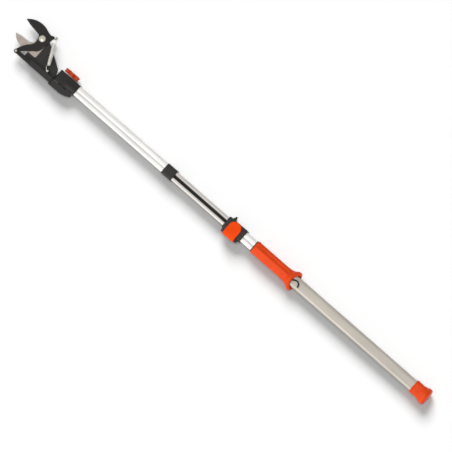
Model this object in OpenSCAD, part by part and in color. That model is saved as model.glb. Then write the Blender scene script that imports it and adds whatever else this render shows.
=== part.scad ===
// Telescopic tree pruner pole with a pull grip, a cam clamp and a tilting bypass cutting head.
// Millimetres. The pole lies along +X, from the butt face at X = 0 to the cutting head.
// +Z is square to the blades, and the link and its channel are on the +Y side of the head.

/* [Tubes] */
// Outside width of the inner telescopic tube
inner_w = 30; // [26:0.5:34]
// Corner radius of the inner tube
inner_r = 5; // [4:0.5:7]
// Wall of the inner tube
inner_wall = 1.3; // [1:0.1:1.8]
// Length of the inner tube
inner_len = 790; // [760:5:800]
// Length of inner tube that is held below the clamp's upper face
inner_held = 532; // [500:5:540]
// Wall of the outer tube that the inner tube slides in
outer_wall = 1.2; // [1:0.1:1.6]
// Length of the outer tube
outer_len = 106; // [100:1:112]
// Length of outer tube inside the handle tube
outer_insert = 39; // [30:1:40]
// Wall of the handle tube
handle_wall = 1.4; // [1.2:0.1:2]
// Length of the handle tube
handle_len = 647; // [640:1:680]
// Wall of the head tube
head_tube_wall = 1.1; // [0.9:0.1:1.5]
// Length of the head tube
head_tube_len = 387; // [340:1:460]
// Length of the head tube that fits over the inner tube
head_overlap = 45; // [38:1:60]
// Width of the soft groove at its mouth
soft_w = 9; // [7:0.5:9.5]
// Depth of the soft groove
soft_d = 1.2; // [0.8:0.1:1.3]

/* [Cord] */
// Diameter of the pull cord
cord_d = 5.4; // [4:0.2:5.6]
// Width of the inner tube's cord groove
groove_w = 10; // [9.6:0.1:10.6]
// Depth of the inner tube's cord groove
groove_d = 7.4; // [7:0.1:8.4]

/* [Butt cap] */
// Length of the butt cap
cap_len = 52; // [44:1:56]
// Thickness of the butt cap's end
cap_floor = 8; // [6:0.5:12]
// Wall of the butt cap round the handle tube
cap_wall = 2.4; // [1.8:0.1:3.4]
// Diameter of the butt cap's flange
flange_d = 52; // [48:1:52]
// Length of the butt cap's flange
flange_len = 16; // [14:0.5:18]
// Edge radius of the butt cap's flange
flange_r = 6; // [4:0.5:6.5]

/* [Grip] */
// Length of the pull grip
grip_len = 158; // [152:1:160]
// Wall of the pull grip
grip_wall = 1.4; // [1.2:0.1:2]
// Widest diameter of the grip's bell
bell_d = 63; // [58:0.5:66]
// Length of the grip's bell
bell_len = 38; // [34:1:40]
// Wall of the grip's bell
bell_wall = 2.4; // [2:0.1:3]
// Distance from the pole's axis to the flat back of the bell
bell_back = 26; // [25:0.5:26]
// Radius of the raised ridge along the grip's front
ridge_r = 8.5; // [8:0.1:9]
// Travel of the pull grip
grip_travel = 58; // [50:1:58]

/* [Clamp] */
// Length of the clamp
clamp_len = 68; // [66:1:76]
// Length of outer tube seated in the clamp
clamp_seat = 18; // [16:1:20]
// Wall of the clamp round the outer tube
clamp_wall = 4; // [3.4:0.1:4.4]
// Width of the cam lever along the pole
lever_w = 40; // [36:1:42]
// Thickness of the cam lever
lever_t = 4.2; // [3.6:0.1:5]
// Radius of the cam
cam_r = 6; // [5.6:0.1:6.2]
// Diameter of the lever's pin
lever_pin_d = 5; // [4:0.5:5.5]

/* [Collar] */
// Length of the guide collar
collar_len = 37; // [34:1:42]
// Wall of the guide collar round the head tube
collar_wall = 1.7; // [1.4:0.1:2.4]

/* [Tilt joint] */
// Wall of the tilt socket's sleeve
sleeve_wall = 1.6; // [1.4:0.1:1.8]
// Length of the tilt socket's sleeve
sleeve_len = 39; // [36:1:44]
// Radius of the tilt socket's nose about the tilt axis
nose_r = 33; // [30:0.5:33]
// Thickness of the tilt joint's cheeks, across the blades
cheek_t = 30; // [29:0.5:32]
// Diameter of the tilt bolt
tilt_bolt_d = 7; // [6:0.5:7.5]
// Diameter over the knob's lobes
knob_d = 52; // [46:1:52]
// Height of the knob
knob_h = 14.4; // [13:0.2:16]
// Number of lobes on the knob
knob_lobes = 6; // [5:1:8]

/* [Cutting head] */
// Distance from the tilt axis to the blade's pivot, along the pole
pivot_x = 134.6; // [133:0.2:140]
// Distance from the pole's axis to the blade's pivot
pivot_y = -47.2; // [-49:0.2:-46]
// Thickness of the moving blade
blade_t = 3.5; // [3:0.1:4]
// Thickness of the counter blade
hook_t = 4; // [3.4:0.1:4.4]
// Width of the ground bevel on the counter blade
hook_bevel = 9; // [6:0.5:10]
// Width of the ground bevel on the moving blade
blade_bevel = 4; // [3:0.5:6]
// Diameter of the pivot bolt's shank
pivot_d = 10; // [9:0.5:11]
// Thickness of the link bar
link_t = 3; // [2.4:0.1:3.2]
// Height of the link bar
link_h = 12; // [10:0.5:12]
// Length of the link bar behind its eye
link_len = 60; // [56:1:62]
// Diameter of the link's pin
link_pin_d = 5; // [4:0.5:5.5]

/* [Return spring] */
// Diameter of the spring's wire
wire_d = 1.6; // [1.2:0.1:1.6]
// Outside diameter of the spring
coil_d = 12; // [10:0.5:12.5]
// Length of the close-wound coil
coil_len = 76; // [56:1:78]
// Least gap between neighbouring turns
turn_gap = 0.5; // [0.45:0.05:0.8]

/* [Hidden] */

$fn = 64;
orange = [0.94, 0.30, 0.10];
black = [0.13, 0.13, 0.13];
bright = [0.90, 0.90, 0.89];
grey = [0.72, 0.71, 0.69];
steel = [0.70, 0.68, 0.66];

// Named clearances: seated pieces, running fits, sliding tubes, pieces of different bodies
seat_gap = 0.1;
run_gap = 0.06;
slide_gap = 0.3;
clear = 0.3;
cut = 1;

// Tube sections, each sized from the one inside it
outer_w = inner_w + 2 * (slide_gap + outer_wall);
outer_r = inner_r + slide_gap + outer_wall;
handle_bore = outer_w + 2 * seat_gap;
handle_bore_r = outer_r + seat_gap;
handle_w = handle_bore + 2 * handle_wall;
handle_r = handle_bore_r + handle_wall;
head_tube_w = inner_w + 2 * (seat_gap + head_tube_wall);
head_tube_r = inner_r + seat_gap + head_tube_wall;
groove_floor = inner_w / 2 - groove_d;
cord_z = groove_floor + cord_d / 2 + clear / 2;

// Stations along the pole
handle_top = cap_floor + handle_len;
bush_len = 10;
outer_x0 = handle_top - outer_insert;
outer_top = outer_x0 + outer_len;
clamp_x0 = outer_top - clamp_seat;
clamp_x1 = clamp_x0 + clamp_len;
inner_x0 = clamp_x1 - inner_held;
inner_top = inner_x0 + inner_len;
head_tube_x0 = inner_top - head_overlap;
head_tube_top = head_tube_x0 + head_tube_len;
collar_lead = 13;
collar_x0 = head_tube_x0 - collar_lead;
collar_x1 = collar_x0 + collar_len;
tilt_reach = 20.3;
tilt_x = head_tube_top + tilt_reach;

// Pull grip and its carrier
grip_top = handle_top + 7;
grip_x0 = grip_top - grip_len;
grip_bore = handle_w + 2 * (slide_gap + clear / 3);
grip_bore_r = handle_r + slide_gap;
grip_w = grip_bore + 2 * grip_wall;
grip_r = grip_bore_r + grip_wall;
carrier_len = 52;
carrier_leg = 20;
carrier_leg_w = 8.4;
carrier_x = outer_x0 - 16;
carrier_t = 2.8;
carrier_w = 9.2;
carrier_z = handle_w / 2 + slide_gap;
cleat_d = 4;
slot_end = 3;
slot_w = carrier_leg_w + 2 * clear;

// Clamp
clamp_w = outer_w + 2 * (seat_gap + clamp_wall);
clamp_r = outer_r + 2;
clamp_foot_z = -26;
foot_w = 32;
lever_x = clamp_x0 + 35;
lever_y = inner_w / 2 + 9.5;
lever_z = 8;
ear_r = 5.2;
ear_t = (clamp_len - lever_w) / 2 - 5;
shoe_len = 22;
shoe_h = 14;

// Tilt joint
sleeve_w = head_tube_w + 2 * (seat_gap + sleeve_wall);
sleeve_x0 = head_tube_top - 23;
sleeve_x1 = sleeve_x0 + sleeve_len;
disc_t = 1.2;
cheek_y0 = sleeve_w / 2 + clear + disc_t;
cheek_y1 = cheek_y0 + 19.4;
cheek_back = 36.3;
cheek_front = 36.7;
cavity_r = 13;
cavity_depth = 11.6;
roller_r = 4.8;
washer_t = 1.1;
washer_y = -sleeve_w / 2 - clear;
knob_y = washer_y - washer_t - clear;
bolt_head_t = 3.4;

// Cutting head, with the blade's pivot as the local origin
pivot = [tilt_x + pivot_x, pivot_y];
cut_z = 2;
blade_z = cut_z + clear;
link_z = blade_z + blade_t + clear;
link_mid_z = link_z + link_t / 2;
plate_t = 5;
body_z = cut_z - hook_t - plate_t;
eye = [34.5, 75.9];
eye_r = 6;
tail_hole = [-29.6, -26.6];
tail_r = 4.6;
anchor = [-74, 60.2];
post_d = 3.5;
post_top = 15.5;
spring_z = 12.6;
body_back = 100.2;
channel_y = 65.1;
channel_w = 16.8;
channel_x1 = -17.9;
channel_wall = 1.6;
channel_open = -40;
front_wall_z = link_z + link_t + 3;
front_wall_t = 2.5;
step_x = -21.3;
ferrule_d = 8;
ferrule_len = 14;

// Points of a round stretch through three points
function circle_mid(a, b, c) =
    let (d = 2 * (a.x * (b.y - c.y) + b.x * (c.y - a.y) + c.x * (a.y - b.y)),
         qa = a * a, qb = b * b, qc = c * c)
    [(qa * (b.y - c.y) + qb * (c.y - a.y) + qc * (a.y - b.y)) / d,
     (qa * (c.x - b.x) + qb * (a.x - c.x) + qc * (b.x - a.x)) / d];
function turn(from, to, way) = way > 0 ? (to - from + 720) % 360 : -((from - to + 720) % 360);
function arc3(a, b, c, n = 8) =
    let (m = circle_mid(a, b, c), r = norm(a - m),
         side = (b.x - a.x) * (c.y - a.y) - (b.y - a.y) * (c.x - a.x),
         a0 = atan2(a.y - m.y, a.x - m.x), a1 = atan2(c.y - m.y, c.x - m.x),
         sweep = turn(a0, a1, side))
    [for (i = [0:n]) m + r * [cos(a0 + sweep * i / n), sin(a0 + sweep * i / n)]];

// Flat shapes
module rrect(w, h, r) {
    square([w - 2 * r, h], center = true);
    square([w, h - 2 * r], center = true);
    for (sx = [-1, 1], sy = [-1, 1]) translate([sx * (w / 2 - r), sy * (h / 2 - r)]) circle(r);
}
module rsq(w, r) rrect(w, w, r);
module soft_groove(w, extra) {
    r = (soft_w * soft_w / 4 + soft_d * soft_d) / (2 * soft_d);
    translate([0, w / 2 - soft_d + r]) circle(r + extra);
}
module grooved_section(w, r, wall) difference() {
    rsq(w, r);
    soft_groove(w, 0);
    difference() {
        rsq(w - 2 * wall, r - wall);
        soft_groove(w, wall);
    }
}
module cord_groove(extra) {
    translate([0, groove_floor + groove_w / 2]) circle(groove_w / 2 + extra);
    translate([-groove_w / 2 - extra, groove_floor + groove_w / 2])
        square([groove_w + 2 * extra, groove_d]);
}
module inner_section() difference() {
    rsq(inner_w, inner_r);
    cord_groove(0);
    difference() {
        rsq(inner_w - 2 * inner_wall, inner_r - inner_wall);
        cord_groove(inner_wall);
    }
}

// Extrusions along each axis: the first flat axis is Y, X and X, the second is Z, Z and Y
module along_x(x0, x1) translate([x0, 0, 0]) rotate([90, 0, 90]) linear_extrude(x1 - x0) children();
module along_y(y0, y1) translate([0, y1, 0]) rotate([90, 0, 0]) linear_extrude(y1 - y0) children();
module along_z(z0, z1) translate([0, 0, z0]) linear_extrude(z1 - z0) children();
module rod_x(y, z, x0, x1, r) along_x(x0, x1) translate([y, z]) circle(r);
module rod_y(x, z, y0, y1, r) along_y(y0, y1) translate([x, z]) circle(r);
module rod_z(x, y, z0, z1, r) along_z(z0, z1) translate([x, y]) circle(r);
module spin_x(x) translate([x, 0, 0]) rotate([0, 90, 0]) rotate_extrude() children();
module at_pivot() translate(pivot) children();

// A tube of round section swept along points, with frames carried from ring to ring
function unit(v) = v / norm(v);
function path_dir(p, i) = unit(p[min(i + 1, len(p) - 1)] - p[max(i - 1, 0)]);
function carried(n, t) = unit(n - (n * t) * t);
function frames(p, up) = [for (i = 0, n = carried(up, path_dir(p, 0)); i < len(p);
    i = i + 1, n = i < len(p) ? carried(n, path_dir(p, i)) : n) n];
function eased(a, b, c, d, t) = 0.5 * (2 * b + (c - a) * t + (2 * a - 5 * b + 4 * c - d) * t * t
    + (3 * b - a - 3 * c + d) * t * t * t);
function smooth_line(p, n) = let (last = len(p) - 1) concat([for (i = [0:last - 1], k = [0:n - 1])
    eased(p[max(i - 1, 0)], p[i], p[i + 1], p[min(i + 2, last)], k / n)], [p[last]]);
module tube(p, d, sides, up = [0, 0, 1]) {
    f = frames(p, up);
    last = len(p) - 1;
    points = [for (i = [0:last]) let (t = path_dir(p, i), n = f[i], b = cross(t, n))
        for (k = [0:sides - 1]) p[i] + d / 2 * (cos(360 * k / sides) * n + sin(360 * k / sides) * b)];
    walls = [for (i = [0:last - 1], k = [0:sides - 1])
        let (a = i * sides + k, b = i * sides + (k + 1) % sides)
        each [[a, a + sides, b], [b, a + sides, b + sides]]];
    ends = [for (k = [1:sides - 2]) each
        [[0, k, k + 1], [last * sides, last * sides + k + 1, last * sides + k]]];
    polyhedron(points, concat(walls, ends));
}

// Butt cap and handle tube
module flange_profile(r, len, edge) {
    square([r - edge, len]);
    translate([0, edge]) square([r, len - 2 * edge]);
    translate([r - edge, edge]) circle(edge);
    translate([r - edge, len - edge]) circle(edge);
}
cap_w = handle_w + 2 * (seat_gap + cap_wall);
cap_r = handle_r + seat_gap + cap_wall;
cap_rivet_x = cap_len - 12;
cap_rivet_d = 4;
bead_len = 4;
bead_rise = 0.9;
module side_rivets(x, y0, y1, r) for (s = [0, 1]) mirror([0, s, 0]) rod_y(x, 0, y0, y1, r);
module butt_cap() color(orange) difference() {
    union() {
        along_x(flange_len / 2, cap_len) rsq(cap_w, cap_r);
        along_x(cap_len - bead_len, cap_len) rsq(cap_w + 2 * bead_rise, cap_r + bead_rise);
        spin_x(0) flange_profile(flange_d / 2, flange_len, flange_r);
        translate([flange_len - flange_r / 2, 0, 0]) rotate([0, 90, 0])
            cylinder(h = flange_len, r1 = flange_d / 2 - flange_r / 4, r2 = cap_w / 2);
    }
    along_x(cap_floor, cap_len + cut) rsq(handle_w + 2 * seat_gap, handle_r + seat_gap);
    side_rivets(cap_rivet_x, handle_w / 2, cap_w, cap_rivet_d / 2 + run_gap);
}
module cap_rivets() color(steel) {
    side_rivets(cap_rivet_x, handle_bore / 2, cap_w / 2, cap_rivet_d / 2);
    side_rivets(cap_rivet_x, cap_w / 2, cap_w / 2 + 1, cap_rivet_d / 2 + 1.2);
}
tube_rivet_x = outer_x0 + outer_insert / 2;
tube_rivet_d = 4;
module handle_tube() color(grey) difference() {
    along_x(cap_floor, handle_top) difference() {
        rsq(handle_w, handle_r);
        rsq(handle_bore, handle_bore_r);
    }
    translate([carrier_x - grip_travel - carrier_leg / 2 - slot_end, -slot_w / 2, 0])
        cube([grip_travel + carrier_leg + 2 * slot_end, slot_w, handle_w]);
    side_rivets(cap_rivet_x, 0, handle_w, cap_rivet_d / 2 + run_gap);
    side_rivets(tube_rivet_x, 0, handle_w, tube_rivet_d / 2 + run_gap);
}
module top_bush() color(black) along_x(handle_top, handle_top + bush_len) difference() {
    rsq(handle_w, handle_r);
    rsq(outer_w + 2 * seat_gap, outer_r + seat_gap);
}
module outer_tube() color(bright) difference() {
    along_x(outer_x0, outer_top) grooved_section(outer_w, outer_r, outer_wall);
    side_rivets(tube_rivet_x, 0, outer_w, tube_rivet_d / 2 + run_gap);
}
module tube_rivets() color(steel)
    side_rivets(tube_rivet_x, inner_w / 2 + slide_gap, handle_w / 2, tube_rivet_d / 2);

// Pull grip: a square sleeve that opens into a bell, with a ridge over the carrier
bell_round = 8;
lip_turn = 60;
scoop_r = 14;
ridge_rise = 4.8;
mouth_len = 16;
function flare(r0, r1, x0, x1) = arc3([r1, x0], [r0 * 0.64 + r1 * 0.36, (x0 + x1) / 2], [r0, x1], 10);
function lip_end(r, e) = [r - e + e * cos(lip_turn), e + e * sin(lip_turn)];
function lip(r, e) = arc3([r - e, 0], [r, e], lip_end(r, e), 12);
module bell_solid(r0, r1, e, x1) polygon(concat([[0, x1], [0, 0]], lip(r1, e),
    flare(r0, lip_end(r1, e).x, lip_end(r1, e).y, x1)));
module bell_hollow(r0, r1, x1) polygon(concat([[0, x1], [0, -cut]], flare(r0, r1, -cut, x1)));
module grip_solid() {
    along_x(bell_len / 2, grip_len) rsq(grip_w, grip_r);
    spin_x(0) bell_solid(grip_w / 2, bell_d / 2, bell_round, bell_len);
    rod_x(0, grip_w / 2 + ridge_rise - ridge_r, bell_len / 2, grip_len - ridge_r, ridge_r);
    translate([grip_len - ridge_r, 0, grip_w / 2 + ridge_rise - ridge_r]) sphere(ridge_r);
}
module grip() color(orange) translate([grip_x0, 0, 0]) difference() {
    grip_solid();
    along_x(-cut, grip_len + cut) rsq(grip_bore, grip_bore_r);
    spin_x(0) bell_hollow(grip_bore / 2 - 2, bell_d / 2 - bell_round, bell_len - 2 * bell_wall);
    along_x(bell_len / 2, grip_len - 2 * ridge_r)
        translate([-carrier_w / 2 - clear, 0])
            square([carrier_w + 2 * clear, carrier_z + carrier_t + clear]);
    rod_x(0, tail_z, bell_len / 3, grip_len / 2, tail_d / 2 + clear);
    along_x(-cut, mouth_len) translate([-1.5 * tail_d, 0]) square([3 * tail_d, tail_z + tail_d / 2 + clear]);
    rod_z(0, 0, handle_w / 2, bell_d, scoop_r);
    translate([-cut, -bell_d, -bell_back - bell_d]) cube([grip_len, 2 * bell_d, bell_d]);
}
module grip_carrier() color(steel) translate([carrier_x, 0, 0]) difference() {
    union() {
        along_z(carrier_z, carrier_z + carrier_t) rrect(carrier_len, carrier_w, 3);
        along_z(cord_z + clear, carrier_z + cut) square([carrier_leg, carrier_leg_w], center = true);
    }
    rod_x(0, cord_z, -carrier_leg, carrier_leg, cord_d / 2 + clear);
    rod_z(0, 0, cord_z, carrier_z + carrier_t + cut, cleat_d / 2 + run_gap);
}
module cleat_screw() color(steel) translate([carrier_x, 0, 0]) difference() {
    rod_z(0, 0, cord_z + cord_d / 2 + clear, carrier_z + carrier_t, cleat_d / 2);
    translate([-cleat_d, -0.4, carrier_z + carrier_t - 1]) cube([2 * cleat_d, 0.8, 2]);
}

// Spare end of the cord: out of the grip's ridge, then across the handle tube's front face
tail_d = 4.6;
tail_z = handle_w / 2 + tail_d / 2 + clear;
tail_start = 50;
tail_bow = 2.5 * tail_d;
tail_lean = 38;
tail_swing = 104;
tail_rest = 7;
tail_gap = 1;
function heading(a) = [cos(a), sin(a)];
function bow(c, r, from, to, n) = [for (i = [0:n]) c + r * heading(from + (to - from) * i / n)];
bow_near = [13.5, -tail_bow];
bow_far = bow_near + 2 * tail_bow * heading(90 + tail_lean) + tail_gap * heading(180 + tail_lean);
bow_end = tail_lean - 90 - tail_swing;
tail_route = concat([[tail_start, 0]], bow(bow_near, tail_bow, 90, 90 + tail_lean, 6),
    bow(bow_far, tail_bow, tail_lean - 90, bow_end, 14),
    [bow_far + tail_bow * heading(bow_end) + tail_rest * heading(bow_end - 90)]);
module cord_tail() color(black)
    tube([for (p = tail_route) [grip_x0 + p.x, p.y, tail_z]], tail_d, 12);

// Cam clamp
adjust_x = clamp_x1 - 14;
adjust_d = 5;
adjust_head_d = 10;
adjust_head_t = 10;
adjust_rim = 4;
adjust_grips = 10;
slot_t = 1.2;
slot_depth = 2;
grip_rib_r = 1;
set_screw_x = clamp_x0 + clamp_seat / 2;
set_screw_d = 5;
lever_reach = 57;
lever_round = 12.1;
cam_throw = 0.8;
lever_bend = 13;
module clamp_outline() {
    rsq(clamp_w, clamp_r);
    translate([-foot_w / 2, clamp_foot_z]) square([foot_w, -clamp_foot_z]);
}
module clamp_body() color(black) difference() {
    union() {
        intersection() {
            along_x(clamp_x0, clamp_x1) clamp_outline();
            along_z(-clamp_w, clamp_w) translate([(clamp_x0 + clamp_x1) / 2, 0])
                rrect(clamp_len, clamp_w, 5);
        }
        for (x = [lever_x - lever_w / 2 - clear - ear_t, lever_x + lever_w / 2 + clear])
            along_x(x, x + ear_t) {
                translate([lever_y, lever_z]) circle(ear_r);
                translate([0, lever_z - ear_r]) square([lever_y, 2 * ear_r]);
            }
    }
    along_x(clamp_x0 - cut, outer_top) rsq(outer_w + 2 * seat_gap, outer_r + seat_gap);
    along_x(outer_top - cut, clamp_x1 + cut) rsq(inner_w + 2 * slide_gap, inner_r + slide_gap);
    rod_x(lever_y, lever_z, clamp_x0, clamp_x1, lever_pin_d / 2 + run_gap);
    rod_y(adjust_x, 0, -clamp_w, 0, adjust_d / 2 + run_gap);
    rod_z(set_screw_x, 0, clamp_foot_z - cut, 0, set_screw_d / 2 + run_gap);
    translate([lever_x - shoe_len / 2 - clear, 0, lever_z - shoe_h / 2 - clear])
        cube([shoe_len + 2 * clear, clamp_w, shoe_h + 2 * clear]);
    along_x(lever_x - lever_w / 2 - clear, lever_x + lever_w / 2 + clear)
        translate([lever_y, lever_z]) circle(lever_hub_r + clear);
}
lever_hub_r = cam_r + 2.4;
lever_front = clamp_w / 2 + clear;
module clamp_lever() color(orange) difference() {
    union() {
        rod_x(lever_y - cam_throw, lever_z, lever_x - lever_w / 2, lever_x + lever_w / 2, cam_r);
        intersection() {
            along_x(lever_x - lever_w / 2, lever_x + lever_w / 2) lever_section();
            along_z(-clamp_w, 2 * clamp_w) translate([lever_x, lever_y + lever_round - lever_reach])
                lever_plan();
        }
    }
    rod_x(lever_y, lever_z, clamp_x0, clamp_x1, lever_pin_d / 2 + run_gap);
}
module lever_section() {
    bend_y = lever_y + lever_round - lever_bend;
    bend_z = lever_front + lever_t - lever_bend;
    translate([lever_y + lever_round - lever_reach, lever_front])
        square([bend_y - lever_y - lever_round + lever_reach, lever_t]);
    translate([bend_y, bend_z]) intersection() {
        difference() {
            circle(lever_bend);
            circle(lever_bend - lever_t);
        }
        square(lever_bend);
    }
    translate([bend_y + lever_bend - lever_t, lever_z - lever_t])
        square([lever_t, bend_z - lever_z + lever_t]);
    translate([lever_y - cam_throw, lever_z - lever_t]) square([lever_round, 2 * lever_t]);
}
module lever_plan() {
    translate([0, lever_w / 2]) circle(lever_w / 2);
    translate([-lever_w / 2, lever_w / 2]) square([lever_w, 2 * lever_reach]);
}
module lever_pin() color(steel)
    rod_x(lever_y, lever_z, lever_x - lever_w / 2 - ear_t - 1, lever_x + lever_w / 2 + ear_t + 1,
        lever_pin_d / 2);
module brake_shoe() color(black)
    translate([lever_x - shoe_len / 2, inner_w / 2 + clear, lever_z - shoe_h / 2])
        cube([shoe_len, lever_y - cam_throw - cam_r - inner_w / 2 - 2 * clear, shoe_h]);
module adjust_screw() color(black) difference() {
    union() {
        rod_y(adjust_x, 0, -clamp_w / 2 - 1, -inner_w / 2 - clear, adjust_d / 2);
        along_y(-clamp_w / 2 - adjust_rim, -clamp_w / 2) translate([adjust_x, 0]) {
            circle(adjust_head_d / 2);
            for (i = [0:adjust_grips - 1]) rotate(360 * i / adjust_grips)
                translate([(adjust_head_d - grip_rib_r) / 2, 0]) circle(grip_rib_r);
        }
        translate([adjust_x, cut - clamp_w / 2 - adjust_rim, 0]) rotate([90, 0, 0])
            cylinder(h = adjust_head_t - adjust_rim + cut, r1 = adjust_head_d / 2 - grip_rib_r,
                r2 = adjust_head_d / 4);
    }
    translate([adjust_x - adjust_head_d, -clamp_w / 2 - adjust_head_t - cut, -slot_t / 2])
        cube([2 * adjust_head_d, cut + slot_depth, slot_t]);
}
module clamp_set_screw() color(steel)
    rod_z(set_screw_x, 0, clamp_foot_z + 1, -outer_w / 2 - seat_gap, set_screw_d / 2);

// Inner tube, cord and guide collar
shoe_w = handle_bore - 2 * slide_gap;
guide_len = 22;
module inner_tube() color(grey) difference() {
    along_x(inner_x0, inner_top) inner_section();
    side_rivets(collar_rivet_x, 0, inner_w, collar_rivet_d / 2 + run_gap);
}
module guide_shoe() color(black) along_x(inner_x0, inner_x0 + guide_len) difference() {
    rsq(shoe_w, inner_r + 1.2);
    rsq(inner_w + 2 * seat_gap, inner_r + seat_gap);
    translate([-groove_w / 2, 0]) square([groove_w, shoe_w]);
}
cord_foot = 5;
cord_top = head_tube_top - 2;
module pull_cord() color(black) rod_x(0, cord_z, inner_x0 + cord_foot, cord_top, cord_d / 2);
collar_rivet_x = head_tube_x0 + head_overlap / 4;
collar_rivet_d = 4;
collar_w = head_tube_w + 2 * (seat_gap + collar_wall);
collar_r = head_tube_r + seat_gap + collar_wall;
module guide_collar() color(black) difference() {
    intersection() {
        along_x(collar_x0, collar_x1) rsq(collar_w, collar_r);
        along_z(-collar_w, collar_w) translate([(collar_x0 + collar_x1) / 2, 0])
            rrect(collar_len, collar_w, 3);
    }
    along_x(collar_x0 - cut, collar_x1 + cut) rsq(inner_w + 2 * seat_gap, inner_r + seat_gap);
    along_x(head_tube_x0, collar_x1 + cut) rsq(head_tube_w + 2 * seat_gap, head_tube_r + seat_gap);
}
module collar_rivets() color(steel)
    side_rivets(collar_rivet_x, inner_w / 2 - inner_wall, head_tube_w / 2, collar_rivet_d / 2);
module head_tube() color(bright) difference() {
    along_x(head_tube_x0, head_tube_top) grooved_section(head_tube_w, head_tube_r, head_tube_wall);
    side_rivets(collar_rivet_x, 0, head_tube_w, collar_rivet_d / 2 + run_gap);
    rod_z(socket_screw_x, 0, -head_tube_w, 0, socket_screw_d / 2 + run_gap);
}

// Tilt socket: a sleeve on the head tube that runs into a round-nosed cheek
socket_screw_x = sleeve_x0 + 10;
socket_screw_d = 4;
port_w = 20;
block_t = 33;
bulge_w = 24;
bulge_y = 2;
bulge_top = sleeve_w / 2 + 2;
bulge_len = 46;
bulge_rise = bulge_top - block_t / 2;
bulge_r = (bulge_w * bulge_w / 4 + bulge_rise * bulge_rise) / (2 * bulge_rise);
bulge_x1 = sleeve_x0 + bulge_len - bulge_w / 2;
port_z = [3, 13.2];
module tilt_socket() color(black) difference() {
    union() {
        along_x(sleeve_x0, sleeve_x1) rsq(sleeve_w, head_tube_r + seat_gap + sleeve_wall);
        intersection() {
            translate([0, bulge_y, bulge_top - bulge_r]) {
                rod_x(0, 0, sleeve_x0 + 2, bulge_x1, bulge_r);
                translate([bulge_x1, 0, 0]) sphere(bulge_r);
            }
            translate([sleeve_x0, -sleeve_w / 2, 0]) cube([3 * sleeve_len, sleeve_w, sleeve_w]);
        }
        along_y(-sleeve_w / 2, sleeve_w / 2) intersection() {
            translate([tilt_x, 0]) circle(nose_r);
            translate([sleeve_x0 + 8, -block_t / 2]) square([4 * nose_r, block_t]);
        }
    }
    along_x(sleeve_x0 - cut, head_tube_top) rsq(head_tube_w + 2 * seat_gap, head_tube_r + seat_gap);
    translate([head_tube_top - cut, -port_w / 2, port_z[0]])
        cube([tilt_reach + cavity_r, port_w / 2 + sleeve_w, port_z[1] - port_z[0]]);
    rod_y(tilt_x, 0, sleeve_w / 2 - cavity_depth, sleeve_w, cavity_r);
    rod_y(tilt_x, 0, -sleeve_w, sleeve_w, tilt_bolt_d / 2 + run_gap);
    rod_z(socket_screw_x, 0, -sleeve_w, 0, socket_screw_d / 2 + run_gap);
}
module socket_screws() color(steel) {
    rod_z(socket_screw_x, 0, -sleeve_w / 2 - 2, -sleeve_w / 2, socket_screw_d);
    rod_z(socket_screw_x, 0, -sleeve_w / 2, -head_tube_w / 2 + head_tube_wall, socket_screw_d / 2);
}
module friction_disc() color(black)
    along_y(cheek_y0 - disc_t, cheek_y0) translate([tilt_x, 0]) difference() {
        circle(cheek_t / 2 - 0.2);
        circle(cavity_r - 0.2);
    }
module tilt_bolt() color(steel) {
    rod_y(tilt_x, 0, knob_y - knob_h + 3, cheek_y1 - bolt_head_t, tilt_bolt_d / 2);
    along_y(cheek_y1 - bolt_head_t, cheek_y1 - clear) translate([tilt_x, 0])
        circle(tilt_bolt_d * 0.8, $fn = 6);
}
module tilt_washer() color(bright) along_y(washer_y - washer_t, washer_y)
    translate([tilt_x, 0]) difference() {
        circle(tilt_bolt_d + 4);
        circle(tilt_bolt_d / 2 + seat_gap);
    }
lobe_r = 7;
knob_edge = 1.3;
module lobed(inset) {
    circle(knob_d / 2 - lobe_r + 1 - inset);
    for (i = [0:knob_lobes - 1]) rotate(360 * i / knob_lobes - 90)
        translate([knob_d / 2 - lobe_r, 0]) circle(lobe_r - inset);
}
module tilt_knob() color(orange) difference() {
    union() {
        along_y(knob_y - knob_h + knob_edge, knob_y - knob_edge) translate([tilt_x, 0]) lobed(0);
        along_y(knob_y - knob_h, knob_y) translate([tilt_x, 0]) lobed(knob_edge);
    }
    rod_y(tilt_x, 0, knob_y - knob_h + 2.6, knob_y + cut, tilt_bolt_d / 2 + run_gap);
    rod_y(tilt_x, 0, knob_y - knob_h - cut, knob_y - knob_h + 1.6, knob_d / 2 - 2 * lobe_r);
}
roller_y0 = sleeve_w / 2 - cavity_depth + clear;
roller_y1 = cheek_y0 + cavity_depth - clear;
module guide_roller() color(steel) along_y(roller_y0, roller_y1) translate([tilt_x, 0]) difference() {
    circle(roller_r);
    circle(tilt_bolt_d / 2 + run_gap);
}

// Cord through the tilt joint: over the roller and into the link's channel
head_cord_d = 4.6;
roller_top = roller_r + head_cord_d / 2 + clear;
cord_end = [pivot.x + eye.x - link_len - ferrule_len / 2 - clear, pivot.y + eye.y - 0.6, link_mid_z];
module head_cord() color(black) tube(smooth_line([[cord_top + clear, 0, cord_z], [cord_top + 5, 0.4, cord_z],
    [tilt_x - 11, 5, cord_z - 0.6], [tilt_x - 4, 11.4, roller_top + 0.6], [tilt_x + 2, 17, roller_top],
    [tilt_x + 8, 22, roller_top], [tilt_x + 16, 26, roller_top], [tilt_x + 26, cord_end.y, link_mid_z],
    [tilt_x + 40, cord_end.y, link_mid_z], cord_end], 3), head_cord_d, 12);

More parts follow.
